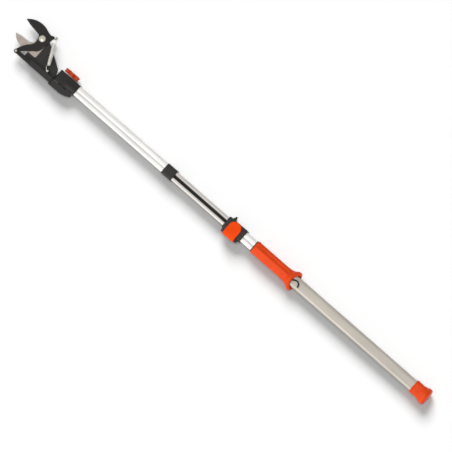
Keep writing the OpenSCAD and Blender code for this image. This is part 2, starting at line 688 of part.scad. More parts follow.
// Cutting head body: a plate with a step for the counter blade, a channel and the tilt cheek
body_edge = [[-22.9, -5.5], [-37.2, 1.9], [-92, 36.5]];
module front_plate() polygon(concat(body_edge,
    [[-body_back, 53], [-body_back, channel_y + 2], [step_x + 3.6, channel_y + 2],
     [step_x, 56], [step_x, -5.5]]));
finger_y = eye.y - 2;
module back_plate() {
    polygon(concat(body_edge, [[-body_back, 53], [-body_back, channel_y + channel_w],
        [-20, channel_y + channel_w], [channel_x1, finger_y], [8, finger_y], [9, 40], [13, 8],
        [11, -6], [0, -13], [-12, -10]]));
    circle(13);
}
module channel() {
    along_z(body_z, cut_z) translate([-body_back, channel_y]) square([channel_x1 + body_back, channel_w]);
    along_z(cut_z - cut, front_wall_z + front_wall_t) translate([-body_back, channel_y])
        square([channel_open + body_back, channel_wall]);
    along_z(front_wall_z, front_wall_z + front_wall_t) translate([-body_back, channel_y])
        square([channel_x1 + body_back, channel_w]);
}
boss_r = 6;
boss_rise = 2.6;
rib_rise = 1.6;
rib_w = 3;
rib_from = [-44, 6.2];
rib_to = [-91, 35.9];
module edge_rib() translate(rib_from) rotate(atan2(rib_to.y - rib_from.y, rib_to.x - rib_from.x))
    translate([0, -rib_w]) square([norm(rib_to - rib_from), rib_w]);
cheek_drop = 11;
module cheek_plan() {
    r = (cheek_back * cheek_back + cheek_drop * cheek_drop) / (2 * cheek_drop);
    mid = [-cheek_back / 2, cheek_y1 - r + sqrt(r * r - cheek_back * cheek_back / 4)];
    polygon(concat([[-cheek_back, cheek_y0], [cheek_front, cheek_y0], [cheek_front, cheek_y1]],
        arc3([0, cheek_y1], mid, [-cheek_back, cheek_y1 - cheek_drop], 10)));
}
module head_body() color(black) difference() {
    union() {
        at_pivot() along_z(body_z, cut_z) front_plate();
        at_pivot() along_z(body_z, cut_z - hook_t) back_plate();
        at_pivot() channel();
        at_pivot() translate(anchor) rod_z(0, 0, cut_z - cut, cut_z + boss_rise, boss_r);
        at_pivot() along_z(cut_z - cut, cut_z + rib_rise) edge_rib();
        intersection() {
            along_y(cheek_y0, cheek_y1) translate([tilt_x + (cheek_front - cheek_back) / 2, 0])
                rrect(cheek_front + cheek_back, cheek_t, 8);
            along_z(-cheek_t, cheek_t) translate([tilt_x, 0]) cheek_plan();
        }
    }
    rod_y(tilt_x, 0, cheek_y0 - cut, cheek_y0 + cavity_depth, cavity_r);
    rod_y(tilt_x, 0, 0, cheek_y1 + cut, tilt_bolt_d / 2 + run_gap);
    rod_y(tilt_x, 0, cheek_y1 - bolt_head_t, cheek_y1 + cut, tilt_bolt_d * 0.8 + clear);
    translate([tilt_x, cheek_y0 - cut, cut_z])
        cube([cheek_front + cut, cavity_depth + 2, front_wall_z - cut_z]);
    at_pivot() rod_z(0, 0, body_z - cut, cut_z, pivot_d / 2 + seat_gap);
    at_pivot() translate(anchor)
        rod_z(0, 0, body_z - cut, cut_z + boss_rise + cut, post_d / 2 + run_gap);
    at_pivot() for (p = rivet_spots) rod_z(p.x, p.y, body_z - cut, cut_z, rivet_d / 2 + run_gap);
}

// Counter blade: a hook with a hollow-ground inner edge
hook_tip = [70.7, 36];
hook_mid = [39.1, 24.2];
hook_root = [16.1, 0.2];
rivet_d = 5;
rivet_spots = [[1, 38], [-11, 16]];
module counter_blade() color(steel) at_pivot() difference() {
    along_z(cut_z - hook_t, cut_z) {
        polygon(concat(arc3(hook_root, hook_mid, hook_tip, 14), arc3(hook_tip, [54.8, 50.1], [32, 54.6], 8),
            [[-14, 55.4], [-19.2, 53.2], [step_x + clear, 48], [step_x + clear, -4], [-11, -11]]));
        circle(14);
    }
    rod_z(0, 0, -hook_t, cut_z + cut, pivot_d / 2 + seat_gap);
    for (p = rivet_spots) rod_z(p.x, p.y, -hook_t, cut_z + cut, rivet_d / 2 + run_gap);
    hook_grind();
}
module hook_grind() {
    m = circle_mid(hook_root, hook_mid, hook_tip);
    r = norm(hook_root - m);
    intersection() {
        translate([m.x, m.y, cut_z - hook_t / 2])
            cylinder(h = hook_t / 2, r1 = r, r2 = r + hook_bevel, $fn = 128);
        along_z(-hook_t, cut_z + cut)
            polygon([[17, -20], hook_root + [3, 8], [60, 60], [90, 34], [60, -20]]);
    }
}
module blade_rivets() color(steel) at_pivot()
    for (p = rivet_spots) rod_z(p.x, p.y, body_z, cut_z, rivet_d / 2);

// Moving blade: cutting edge, throat, arm to the link's eye, and a tail for the spring
blade_tip = [73.1, -13.3];
edge_root = [20.1, -3.7];
edge_mid = [45, -6.4];
module blade_outline() {
    polygon(concat(
        arc3([13.6, -0.4], [8.6, 14], [9.5, 25.3], 6),
        arc3([14.6, 33.4], [29.6, 52], [38.6, 72.6], 6),
        arc3([30.4, 74.8], [16.1, 60.6], [6.1, 53], 4),
        arc3([-3.2, 44.1], [-12.9, 36.4], [-17, 30], 4),
        arc3([-19.5, 22], [-22.2, 0], [-24.6, -17], 4),
        [[-29, -23], [-28.6, -29.5]],
        arc3([-12.9, -23.9], [-3.2, -25.8], [9.1, -30], 4),
        arc3([9.1, -30], [40.1, -31.2], blade_tip, 12),
        arc3(blade_tip, edge_mid, edge_root, 10)));
    translate(eye) circle(eye_r);
    translate(tail_hole) circle(tail_r);
}
module blade_grind() {
    m = circle_mid(edge_root, edge_mid, blade_tip);
    r = norm(edge_root - m);
    intersection() {
        translate([m.x, m.y, blade_z]) difference() {
            cylinder(h = blade_t + cut, r = r + blade_bevel);
            cylinder(h = blade_t, r1 = r, r2 = r - blade_bevel, $fn = 128);
            translate([0, 0, blade_t - 0.01]) cylinder(h = 2 * cut, r = r - blade_bevel);
        }
        translate([edge_root.x, blade_tip.y - 6, 0]) cube([80, 20, 2 * blade_t + blade_z]);
    }
}
module blade() color(black) at_pivot() difference() {
    along_z(blade_z, blade_z + blade_t) blade_outline();
    rod_z(0, 0, 0, 2 * blade_t + blade_z, pivot_d / 2 + run_gap);
    translate(eye) rod_z(0, 0, 0, 2 * blade_t + blade_z, link_pin_d / 2 + run_gap);
    translate(tail_hole) rod_z(0, 0, 0, 2 * blade_t + blade_z, post_d / 2 + run_gap);
    blade_grind();
}

// Pivot bolt with its nut and washer
bolt_cap_w = 19;
bolt_cap_t = 4.4;
nut_t = 5;
pivot_washer_t = 1.4;
module pivot_bolt() color(bright) at_pivot() {
    rod_z(0, 0, body_z - pivot_washer_t - nut_t - 2, blade_z + blade_t + clear, pivot_d / 2);
    intersection() {
        along_z(blade_z + blade_t + clear, blade_z + blade_t + clear + bolt_cap_t)
            circle(bolt_cap_w / 2 / cos(30), $fn = 6);
        translate([0, 0, blade_z + blade_t + clear + bolt_cap_t - 14]) sphere(14);
    }
}
module pivot_nut() color(steel) at_pivot()
    along_z(body_z - pivot_washer_t - nut_t, body_z - pivot_washer_t) difference() {
        circle(pivot_d, $fn = 6);
        circle(pivot_d / 2 + seat_gap);
    }
module pivot_washer() color(bright) at_pivot() along_z(body_z - pivot_washer_t, body_z) difference() {
    circle(pivot_d + 1.5);
    circle(pivot_d / 2 + seat_gap);
}
module post(z0) {
    rod_z(0, 0, z0, post_top, post_d / 2);
    rod_z(0, 0, spring_z + wire_d, post_top, post_d / 2 + 0.6);
}
module tail_post() color(steel) at_pivot() translate(tail_hole) post(blade_z);
module anchor_post() color(steel) at_pivot() translate(anchor) post(body_z);

// Link bar with its pin and the cord's ferrule
module link() color(black) at_pivot() translate(eye) difference() {
    along_z(link_z, link_z + link_t) {
        circle(eye_r);
        translate([-link_len, -0.5 - link_h / 2]) square([link_len, link_h]);
    }
    rod_z(0, 0, 0, 2 * link_z, link_pin_d / 2 + run_gap);
    rod_x(-0.6, link_mid_z, -link_len - cut, -link_len + ferrule_len / 2, ferrule_d / 2 + seat_gap);
}
module link_pin() color(bright) at_pivot() translate(eye) {
    rod_z(0, 0, blade_z + 0.1, link_z + link_t, link_pin_d / 2);
    rod_z(0, 0, link_z + link_t, link_z + link_t + 1.4, link_pin_d / 2 + 1);
}
module cord_ferrule() color(steel) at_pivot() translate(eye) difference() {
    rod_x(-0.6, link_mid_z, -link_len - ferrule_len / 2, -link_len + ferrule_len / 2, ferrule_d / 2);
    rod_x(-0.6, link_mid_z, -link_len - ferrule_len, -link_len - 1, cord_d / 2);
}

// Return spring: a hook round each post, joined by one close-wound coil
coil_r = (coil_d - wire_d) / 2;
pitch = wire_d + turn_gap;
hook_r = post_d / 2 + clear + wire_d / 2;
span = norm(tail_hole - anchor);
run_in = 6;
turns = floor((coil_len - 2 * run_in) / pitch);
wound = turns * pitch;
coil_in = (span - wound) / 2 - run_in;
rings = 12;
function hook_points(from, to, n) =
    [for (i = [0:n]) let (a = from + (to - from) * i / n) [hook_r * cos(a), hook_r * sin(a), 0]];
function ease_points(n) = [for (i = [0:n - 1]) let (t = i / n, a = 90 + 180 * t * t)
    [coil_in + run_in * (1.6 * t - 0.6 * t * t), coil_r * cos(a - 90), coil_r * sin(a - 90)]];
half = concat(hook_points(350, 90, 12), [[coil_in / 2, (hook_r + coil_r) / 2, 0]], ease_points(rings));
coil = [for (i = [0:turns * rings]) let (a = 180 + 360 * i / rings)
    [coil_in + run_in + pitch * i / rings, coil_r * cos(a), coil_r * sin(a)]];
function far_end(p) = [span - p.x, -p.y, p.z];
spring_local = concat(half, coil, [for (i = [len(half) - 1:-1:0]) far_end(half[i])]);
spring_axis = unit(tail_hole - anchor);
spring_side = [-spring_axis.y, spring_axis.x];
spring_path = [for (p = spring_local)
    let (q = pivot + anchor + p.x * spring_axis + p.y * spring_side) [q.x, q.y, spring_z + p.z]];
beyond = ceil(0.6 * rings);
least_gap = min([for (i = [0:len(spring_path) - beyond - 1])
    min([for (j = [i + beyond:len(spring_path) - 1]) norm(spring_path[i] - spring_path[j])])]) - wire_d;
echo(spring_turns = turns, spring_least_gap = least_gap);
module return_spring() color(bright) tube(spring_path, wire_d, 8);

butt_cap();
cap_rivets();
handle_tube();
top_bush();
outer_tube();
tube_rivets();
grip();
grip_carrier();
cleat_screw();
cord_tail();
clamp_body();
clamp_lever();
lever_pin();
brake_shoe();
adjust_screw();
clamp_set_screw();
inner_tube();
guide_shoe();
pull_cord();
guide_collar();
collar_rivets();
head_tube();
tilt_socket();
socket_screws();
friction_disc();
tilt_bolt();
tilt_washer();
tilt_knob();
guide_roller();
head_cord();
head_body();
counter_blade();
blade_rivets();
pivot_bolt();
pivot_nut();
pivot_washer();
blade();
tail_post();
anchor_post();
link();
link_pin();
cord_ferrule();
return_spring();
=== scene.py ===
"""Tree pruner pole: finishes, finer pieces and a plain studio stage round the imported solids."""

import math

import bmesh
import bpy
from bpy.props import FloatProperty, FloatVectorProperty, IntProperty, PointerProperty
from mathutils import Matrix, Vector
from mathutils.geometry import intersect_line_line_2d


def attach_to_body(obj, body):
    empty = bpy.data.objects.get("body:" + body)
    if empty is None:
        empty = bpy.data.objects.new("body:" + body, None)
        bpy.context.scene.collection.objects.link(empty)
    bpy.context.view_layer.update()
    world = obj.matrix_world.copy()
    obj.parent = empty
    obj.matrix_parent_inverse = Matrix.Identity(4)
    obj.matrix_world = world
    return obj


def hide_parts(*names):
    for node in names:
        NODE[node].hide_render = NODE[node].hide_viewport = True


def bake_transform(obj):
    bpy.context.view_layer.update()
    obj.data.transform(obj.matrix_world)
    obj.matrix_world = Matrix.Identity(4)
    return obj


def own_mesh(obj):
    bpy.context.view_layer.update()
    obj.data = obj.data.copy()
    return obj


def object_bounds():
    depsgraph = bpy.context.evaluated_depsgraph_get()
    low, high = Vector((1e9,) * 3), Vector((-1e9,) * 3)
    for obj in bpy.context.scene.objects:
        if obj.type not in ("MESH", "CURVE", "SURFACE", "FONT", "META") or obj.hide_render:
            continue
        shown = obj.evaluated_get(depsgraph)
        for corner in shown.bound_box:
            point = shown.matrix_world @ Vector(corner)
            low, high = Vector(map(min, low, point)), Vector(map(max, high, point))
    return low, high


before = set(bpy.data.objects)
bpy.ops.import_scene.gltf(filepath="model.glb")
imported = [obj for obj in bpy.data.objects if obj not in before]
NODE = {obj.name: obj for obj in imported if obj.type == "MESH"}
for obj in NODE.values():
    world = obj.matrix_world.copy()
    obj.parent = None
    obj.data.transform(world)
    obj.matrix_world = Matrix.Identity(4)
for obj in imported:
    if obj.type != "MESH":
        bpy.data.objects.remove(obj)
CAD_BOX = [list(corner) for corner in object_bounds()]

bl_info = {
    "name": "Tree pruner pole",
    "version": (1, 0, 0),
    "blender": (4, 5, 0),
    "location": "3D View > Sidebar > Pruner",
    "description": "Dresses a telescopic tree pruner pole and sets it on a pale studio floor",
    "category": "Object",
}

MM = 0.001


def linear(hex_text):
    """An sRGB hex colour as linear red, green, blue and alpha."""
    parts = [int(hex_text[i:i + 2], 16) / 255 for i in (1, 3, 5)]
    return tuple(c / 12.92 if c <= 0.04045 else ((c + 0.055) / 1.055) ** 2.4 for c in parts) + (1.0,)


def colour(title, text, hex_text):
    """A colour setting, given as sRGB hex."""
    return FloatVectorProperty(name=title, description=text, subtype="COLOR", size=4,
                               min=0.0, max=1.0, default=linear(hex_text))


def length(title, text, size_mm):
    """A length setting, given in mm."""
    return FloatProperty(name=title, description=text, subtype="DISTANCE", unit="LENGTH",
                         min=0.0, default=size_mm * MM, precision=5)


def strength(title, text, level):
    """A lamp's strength as a setting."""
    return FloatProperty(name=title, description=text, default=level, min=0)


class PrunerColours(bpy.types.PropertyGroup):
    orange: colour("Orange nylon", "Grip and butt cap", "#F04A0A")
    # Painted shade: the knob's orange is darker and browner than the grip's, standing in for the shade between its
    # lobes
    knob: colour("Knob orange", "Tilt knob, a browner orange than the grip", "#D2481C")
    lever: colour("Lever orange", "Clamp lever, a cleaner orange than the grip", "#FF4C02")
    black: colour("Black nylon", "Clamp, collar, socket and head body", "#1D1B19")
    bright: colour("Bright aluminium", "Head tube and outer tube", "#F3F1ED")
    grey: colour("Grey aluminium", "Inner tube", "#D2CDC7")
    handle: colour("Handle aluminium", "Handle tube", "#C3BCB2")
    coating: colour("Blade coating", "Black non-stick coat on the moving blade", "#252220")
    hook: colour("Hook steel", "Flat of the counter blade", "#B7AAA1")
    ground: colour("Ground steel", "Bevels ground to an edge", "#E2E6E8")
    zinc: colour("Zinc plate", "Bolts, pins and rivets", "#CFCABC")
    wire: colour("Spring wire", "Plated return spring", "#E6E3DC")
    cord: colour("Cord", "Braided polyester cord", "#1D1B1A")


class PrunerSizes(bpy.types.PropertyGroup):
    cord: length("Pull cord", "Diameter of the cord in the groove", 5.4)
    tail: length("Cord tail", "Diameter of the cord's ends", 4.6)
    braid_pitch: length("Braid pitch", "Length of one turn of a strand", 16)
    strands: IntProperty(name="Strands", description="Strands that wind each way", default=6, min=2)
    wire: length("Spring wire", "Diameter of the spring's wire", 1.6)
    coil: length("Spring coil", "Outside diameter of the spring", 12)
    edge: length("Moulded edge", "Radius on the edges of moulded pieces", 0.8)
    plate_edge: length("Plate edge", "Broken edge on steel plates", 0.35)


class PrunerStage(bpy.types.PropertyGroup):
    floor: colour("Floor", "Pale paper floor", "#A4A4A4")
    key: strength("Shadow lamp", "Strength of the soft lamp that lays the shadow", 7.6)
    fill: strength("Floor fill", "Strength of the lamp straight over the floor", 2.0)
    edge: strength("Side lamp", "Power of the large lamp on the pole", 24.0)
    top: strength("Top lamp", "Power of the lamp over the orange mouldings", 18.0)
    sky: strength("Sky", "Strength of the even light", 0.5)


def sizes():
    """The settings for sizes."""
    return bpy.context.scene.pruner_sizes


def colours():
    """The settings for colours."""
    return bpy.context.scene.pruner_colours


def add(tree, kind, inputs=None, **settings):
    """Adds a node with its settings. An input is a fixed value, a socket to link or a node, for its first output."""
    node = tree.nodes.new(kind)
    for key, value in settings.items():
        setattr(node, key, value)
    for key, value in (inputs or {}).items():
        if isinstance(value, bpy.types.Node):
            value = value.outputs[0]
        if isinstance(value, bpy.types.NodeSocket):
            tree.links.new(value, node.inputs[key])
        else:
            node.inputs[key].default_value = value
    return node


def toned(base, share, lift=0.0):
    """A colour made darker or lighter."""
    return [min(1, c * share + lift) for c in base[:3]] + [1]


def blank(name):
    """A new material and its empty tree."""
    material = bpy.data.materials.new(name)
    material.use_nodes = True
    tree = material.node_tree
    tree.nodes.clear()
    return material, tree


def skinned(tree, base, tone, stops, marks, gloss, bump, depth_mm, more, groove_shade=0.0):
    """Ends a material: one pattern varies the tone of its colour, a mask mixes in painted shade, and another pattern
    gives gloss and fine relief.
    """
    shade = add(tree, "ShaderNodeValToRGB", {"Fac": tone})
    for element, (at, *change) in zip(shade.color_ramp.elements, stops):
        element.position, element.color = at, toned(base, *change)
    # Painted shade: the mask mixes the colour toward a darker tone of itself
    shaded_colour = add(tree, "ShaderNodeMix", {0: groove_shade, 6: shade, 7: toned(base, 0.6)}, data_type="RGBA")
    rough = add(tree, "ShaderNodeMapRange", {"Value": marks, "From Min": 0.3, "From Max": 0.7,
                                             "To Min": gloss[0], "To Max": gloss[1]})
    relief = add(tree, "ShaderNodeBump", {"Height": marks, "Strength": bump, "Distance": depth_mm * MM})
    skin = add(tree, "ShaderNodeBsdfPrincipled", {"Base Color": shaded_colour.outputs[2], "Roughness": rough,
                                                  "Normal": relief, **more})
    add(tree, "ShaderNodeOutputMaterial", {"Surface": skin})


def moulded(name, base, roughness, grain_mm, bump, shine):
    """Injection-moulded nylon: one colour right through, a faint spark-eroded grain and soft gloss."""
    material, tree = blank(name)
    place = add(tree, "ShaderNodeTexCoord").outputs["Object"]
    cloud_mm, depth_mm = 38, 0.12
    cloud = add(tree, "ShaderNodeTexNoise", {"Vector": place, "Scale": 1 / (cloud_mm * MM), "Detail": 3.0,
                                             "Roughness": 0.55})
    grain = add(tree, "ShaderNodeTexNoise", {"Vector": place, "Scale": 1 / (grain_mm * MM), "Detail": 2.0,
                                             "Roughness": 0.6})
    skinned(tree, base, cloud, ((0.3, 0.9), (0.7, 1.07, 0.004)), grain, (roughness - 0.05, roughness + 0.07),
            bump, depth_mm, {"IOR": 1.53, "Specular IOR Level": shine})
    return material


def drawn(name, base, roughness, groove=0.0):
    """Drawn aluminium tube: die lines run along the tube, over broad soft patches that are lighter and darker at
    random, with painted shade along its groove.
    """
    material, tree = blank(name)
    place = add(tree, "ShaderNodeTexCoord").outputs["Object"]
    # Real die lines are finer than 0.7 mm, which still shows
    line_mm, patch_mm, depth_mm, groove_shade_mm = (260, 0.7, 0.7), (90, 14, 14), 0.05, (1.5, 5)
    lines_at, patch_at = [add(tree, "ShaderNodeMapping", {"Vector": place, "Scale": [1 / (w * MM) for w in wide]})
                          for wide in (line_mm, patch_mm)]
    lines = add(tree, "ShaderNodeTexNoise", {"Vector": lines_at, "Scale": 1.0, "Detail": 3.0, "Roughness": 0.6})
    patch = add(tree, "ShaderNodeTexNoise", {"Vector": patch_at, "Scale": 1.0, "Detail": 2.0})
    both = add(tree, "ShaderNodeMath", {0: lines, 1: patch}, operation="MULTIPLY")
    # Painted shade: the colour is darkened by the given amount in a band along y = 0, where the groove runs, in
    # place of the shade a groove holds
    axes = add(tree, "ShaderNodeSeparateXYZ", {"Vector": place})
    aside = add(tree, "ShaderNodeMath", {0: axes.outputs["Y"]}, operation="ABSOLUTE")
    groove_shade = add(tree, "ShaderNodeMapRange", {"Value": aside, "From Min": groove_shade_mm[0] * MM, "From Max": groove_shade_mm[1] * MM,
                                            "To Min": groove, "To Max": 0.0}, interpolation_type="SMOOTHSTEP")
    skinned(tree, base, both, ((0.12, 0.86), (0.36, 1)), lines, (roughness - 0.06, roughness + 0.1),
            0.12, depth_mm, {"Metallic": 1.0}, groove_shade)
    return material


def plated(name, base, roughness, grain_mm, metallic, bump, stretch=(1, 1, 1), shine=0.5):
    """Plated, ground or coated steel: fine marks at their real spacing, stretched along the way it was ground."""
    material, tree = blank(name)
    place = add(tree, "ShaderNodeTexCoord").outputs["Object"]
    cloud_mm, depth_mm = 9, 0.05
    marks_at = add(tree, "ShaderNodeMapping", {"Vector": place, "Scale": [s / (grain_mm * MM) for s in stretch]})
    marks = add(tree, "ShaderNodeTexNoise", {"Vector": marks_at, "Scale": 1.0, "Detail": 3.0, "Roughness": 0.65})
    cloud = add(tree, "ShaderNodeTexNoise", {"Vector": place, "Scale": 1 / (cloud_mm * MM), "Detail": 2.0})
    both = add(tree, "ShaderNodeMath", {0: marks, 1: cloud}, operation="MULTIPLY")
    skinned(tree, base, both, ((0.14, 0.84), (0.36, 1.05)), marks, (roughness - 0.07, roughness + 0.09),
            bump, depth_mm, {"Metallic": metallic, "Specular IOR Level": shine})
    return material


def braided(name, base):
    """Braided polyester: matt black yarn with a fine fibre grain and a dusty sheen."""
    material, tree = blank(name)
    place = add(tree, "ShaderNodeTexCoord").outputs["Object"]
    # Real fibres are finer than 0.35 mm, which still shows
    fibre_mm, depth_mm, matt = 0.35, 0.15, 0.82
    fibre = add(tree, "ShaderNodeTexNoise", {"Vector": place, "Scale": 1 / (fibre_mm * MM), "Detail": 2.0})
    skinned(tree, base, fibre, ((0, 0.6), (1, 1.9)), fibre, (matt, matt), 0.4, depth_mm,
            {"Sheen Weight": 0.15, "Sheen Roughness": 0.5})
    return material


def finish(slot):
    """The finish of one of the record's material slots, and of the few pieces that differ inside a slot."""
    c = colours()
    # A grain is drawn coarser than the real one, as fine as still shows
    maker, name, *given = {
        # moulded: colour, roughness, grain in mm, bump, shine
        "orange_plastic": (moulded, "orange_nylon_moulded", c.orange, 0.42, 0.8, 0.18, 0.16),
        # Painted shade: the knob's darker orange stands in for the shade between its lobes
        "knob_painted_shade_orange": (moulded, "knob_nylon_moulded", c.knob, 0.4, 0.8, 0.14, 0.3),
        "lever_orange": (moulded, "lever_nylon_moulded", c.lever, 0.42, 0.8, 0.14, 0.06),
        "black_plastic": (moulded, "black_nylon_moulded", c.black, 0.5, 0.6, 0.3, 0.42),
        "socket_black": (moulded, "glossy_nylon_moulded", c.black, 0.36, 0.6, 0.2, 0.3),
        # drawn: colour, roughness, painted shade in the groove
        "bright_aluminium": (drawn, "bright_drawn_aluminium", c.bright, 0.4, 0.3),
        "grey_aluminium": (drawn, "grey_drawn_aluminium", c.grey, 0.38),
        "handle_aluminium": (drawn, "handle_drawn_aluminium", c.handle, 0.5),
        # plated: colour, roughness, grain in mm, metallic, bump, the grain's scale along each axis, shine
        "coated_steel": (plated, "black_coated_steel", c.coating, 0.5, 0.7, 0.0, 0.35, (1, 1, 1), 0.3),
        "coated_bevel": (plated, "coated_ground_bevel", c.coating, 0.4, 0.5, 0.0, 0.3, (1, 0.15, 1), 0.4),
        "blade_steel": (plated, "hook_ground_steel", c.hook, 0.42, 0.5, 0.85, 0.2, (0.12, 1, 1)),
        "ground_edge": (plated, "bright_ground_bevel", c.ground, 0.24, 0.5, 1.0, 0.3, (1, 0.12, 1)),
        "fastener_steel": (plated, "zinc_plated_steel", c.zinc, 0.3, 0.8, 1.0, 0.15),
        "spring_steel": (plated, "plated_spring_wire", c.wire, 0.24, 0.6, 1.0, 0.1),
        "cord_fibre": (braided, "braided_polyester", c.cord),
    }[slot]
    return bpy.data.materials.get(name) or maker(name, *given)


def paint(node, slot, look=None):
    """Gives a CAD node that keeps its shape its finish."""
    mesh = NODE[node].data
    mesh.materials.clear()
    mesh.materials.append(finish(look or slot))


def placed(name, data):
    """A new object in the scene."""
    piece = bpy.data.objects.new(name, data)
    bpy.context.scene.collection.objects.link(piece)
    return piece


def evaluated(piece):
    """An object's mesh with its modifiers run, as a mesh of its own."""
    return bpy.data.meshes.new_from_object(piece.evaluated_get(bpy.context.evaluated_depsgraph_get()))


def meshed(bm, name):
    """A new mesh from an edit mesh, which ends there."""
    mesh = bpy.data.meshes.new(name)
    bm.to_mesh(mesh)
    bm.free()
    return mesh


def attach(piece, body, node):
    """Sets a finished piece on its body, in place of the CAD node it stands for."""
    if body:
        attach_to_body(piece, body)
    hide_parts(node)
    return piece


def ready(name, mesh, looks, body, node):
    """Puts a finished mesh in the scene, with its finishes unless it has them already."""
    piece = placed(name, mesh)
    if looks:
        mesh.materials.clear()
    for look in looks:
        mesh.materials.append(finish(look))
    return attach(piece, body, node)


def smooth(mesh, angle):
    """Smooth shading, with edges sharper than an angle left crisp."""
    mesh.polygons.foreach_set("use_smooth", [True] * len(mesh.polygons))
    mesh.set_sharp_from_angle(angle=math.radians(angle))
    mesh.update()


def applied(mesh, kinds):
    """A mesh with modifiers run on it, given as {kind: settings}, in place of the first one."""
    name = mesh.name
    piece = placed("bench", mesh)
    for kind, settings in kinds.items():
        modifier = piece.modifiers.new(kind, kind)
        for key, value in settings.items():
            setattr(modifier, key, value)
    made = evaluated(piece)
    bpy.data.objects.remove(piece)
    bpy.data.meshes.remove(mesh)
    made.name = name
    return made


def settled(mesh, angle):
    """The mesh with its normals taken from its larger faces, so that flats stay flat up to their edges."""
    smooth(mesh, angle)
    return applied(mesh, {"WEIGHTED_NORMAL": {"keep_sharp": True}})


def merged(node):
    """A CAD node's mesh, merged, with its flat faces whole."""
    bm = bmesh.new()
    bm.from_mesh(NODE[node].data)
    bmesh.ops.remove_doubles(bm, verts=bm.verts, dist=0.002 * MM)
    bmesh.ops.dissolve_limit(bm, angle_limit=math.radians(0.6), verts=bm.verts, edges=bm.edges)
    return bm


def softened(name, node, width, body, slot, above=-100.0):
    """A copy of a CAD node whose outer edges, above a height in mm, are rounded as a mould leaves them."""
    bm = merged(node)
    sharp = [e for e in bm.edges if e.is_manifold and e.is_convex and e.calc_face_angle(0) > math.radians(30)
             and all(v.co.z > above * MM for v in e.verts)]
    bmesh.ops.bevel(bm, geom=sharp, offset=width, offset_type="OFFSET", segments=2, profile=0.5,
                    affect="EDGES", clamp_overlap=False)
    crease = 40
    return ready(name, settled(meshed(bm, name), crease), [slot], body, node)


def rounded_over(name, node, cell_mm, passes, body, slot):
    """A CAD node skinned afresh and rubbed smooth, so that edges and inner corners are rounded as in a mould."""
    crease = 60
    made = applied(meshed(merged(node), name), {"REMESH": {"mode": "VOXEL", "voxel_size": cell_mm * MM},
                                                "SMOOTH": {"iterations": passes}})
    smooth(made, crease)
    return ready(name, made, [slot], body, node)


def flat_loop(node, z):
    """The outer outline, in mm, of a node's flat face at height z, anticlockwise."""
    bm = merged(node)
    level = {f for f in bm.faces if abs(f.normal.z) > 0.99 and abs(f.calc_center_median().z - z * MM) < 0.01 * MM}
    nexts = {}
    for face in level:
        for edge in face.edges:
            if sum(other in level for other in edge.link_faces) == 1:
                for vert in edge.verts:
                    nexts.setdefault(vert, []).append(edge.other_vert(vert))
    loops = []
    while nexts:
        start = here = next(iter(nexts))
        loop, before = [], None
        while here in nexts:
            loop.append(here.co.xy / MM)
            ahead = [v for v in nexts.pop(here) if v is not before]
            before, here = here, ahead[0] if ahead else start
        loops.append(loop)
    bm.free()
    outer = max(loops, key=lambda loop: max(q.x for q in loop) - min(q.x for q in loop))
    area = sum(a.cross(b) for a, b in zip(outer, outer[1:] + outer[:1]))
    return outer if area > 0 else outer[::-1]


def ramp(x, low, high):
    """A smooth step from 0 at low to 1 at high."""
    t = max(0, min(1, (x - low) / (high - low)))
    return t * t * (3 - 2 * t)


def catmull(p0, p1, p2, p3, t):
    """A point on the Catmull-Rom curve from p1 to p2."""
    return 0.5 * (2 * p1 + (p2 - p0) * t + (2 * p0 - 5 * p1 + 4 * p2 - p3) * t * t
                  + (3 * p1 - p0 - 3 * p2 + p3) * t ** 3)


def eased(loop, step, corner=26):
    """A closed outline run smooth between its corners."""
    count = len(loop)
    turn = []
    for i in range(count):
        a, b = loop[i] - loop[i - 1], loop[(i + 1) % count] - loop[i]
        turn.append(abs(math.degrees(math.atan2(a.cross(b), a.dot(b)))))
    line = []
    for i in range(count):
        p1, p2 = loop[i], loop[(i + 1) % count]
        p0 = p1 if turn[i] > corner else loop[i - 1]
        p3 = p2 if turn[(i + 1) % count] > corner else loop[(i + 2) % count]
        bend = min((p2 - p1).length, (p1 - p0).length or 1e9, (p3 - p2).length or 1e9) > 0.2 * (p2 - p1).length
        parts = max(1, round((p2 - p1).length / step))
        line += [catmull(p0, p1, p2, p3, k / parts) if bend else p1.lerp(p2, k / parts) for k in range(parts)]
    return line


def inset(loop, widths):
    """An outline moved inwards, by its own width at each point."""
    count = len(loop)
    moved = []
    for i in range(count):
        a = (loop[i] - loop[i - 1]).normalized()
        b = (loop[(i + 1) % count] - loop[i]).normalized()
        inward = Vector((-a.y - b.y, a.x + b.x))
        grow = min(1.8, 2 / max(inward.length, 0.2))
        moved.append(loop[i] + inward.normalized() * widths[i] * grow)
    return moved


def unfolded(loop):
    """An outline whose small folds, as an inset makes in a sharp tip, are drawn together where they cross."""
    count, longest = len(loop), 40
    out = list(loop)
    for i in range(count):
        for span in range(2, longest):
            j = (i + span) % count
            cross = intersect_line_line_2d(out[i], out[(i + 1) % count], out[j], out[(j + 1) % count])
            if cross:
                for k in range(i + 1, i + span + 1):
                    out[k % count] = cross
    return out


def nearest(q, loop):
    """The point of a closed outline nearest to q."""
    best = None
    for a, b in zip(loop, loop[1:] + loop[:1]):
        t = max(0, min(1, (q - a).dot(b - a) / max((b - a).length_squared, 1e-9)))
        point = a.lerp(b, t)
        if best is None or (q - point).length < (q - best).length:
            best = point
    return best


def recut(loop, mouth, bevel):
    """An outline cut to a line between that line's ends, and the width ground back at each point."""
    first, last = [min(range(len(loop)), key=lambda i: (loop[i] - Vector(end)).length)
                   for end in (mouth[0], mouth[-1])]
    kept = (loop[last + 1:] + loop[:last + 1])[:(first - last - 1) % len(loop)]
    line = [Vector(q[:2]) for q in rounded_path([(*q, 0) for q in mouth], 0.8)]
    share = [i / (len(line) - 1) for i in range(len(line))]
    # The bevel starts a quarter of the way along, and runs out at the tip
    ground = [bevel * ramp(t, 0.25, 0.5) * (1 - ramp(t, 0.9, 1)) for t in share]
    return kept + line, [0.0] * len(kept) + ground


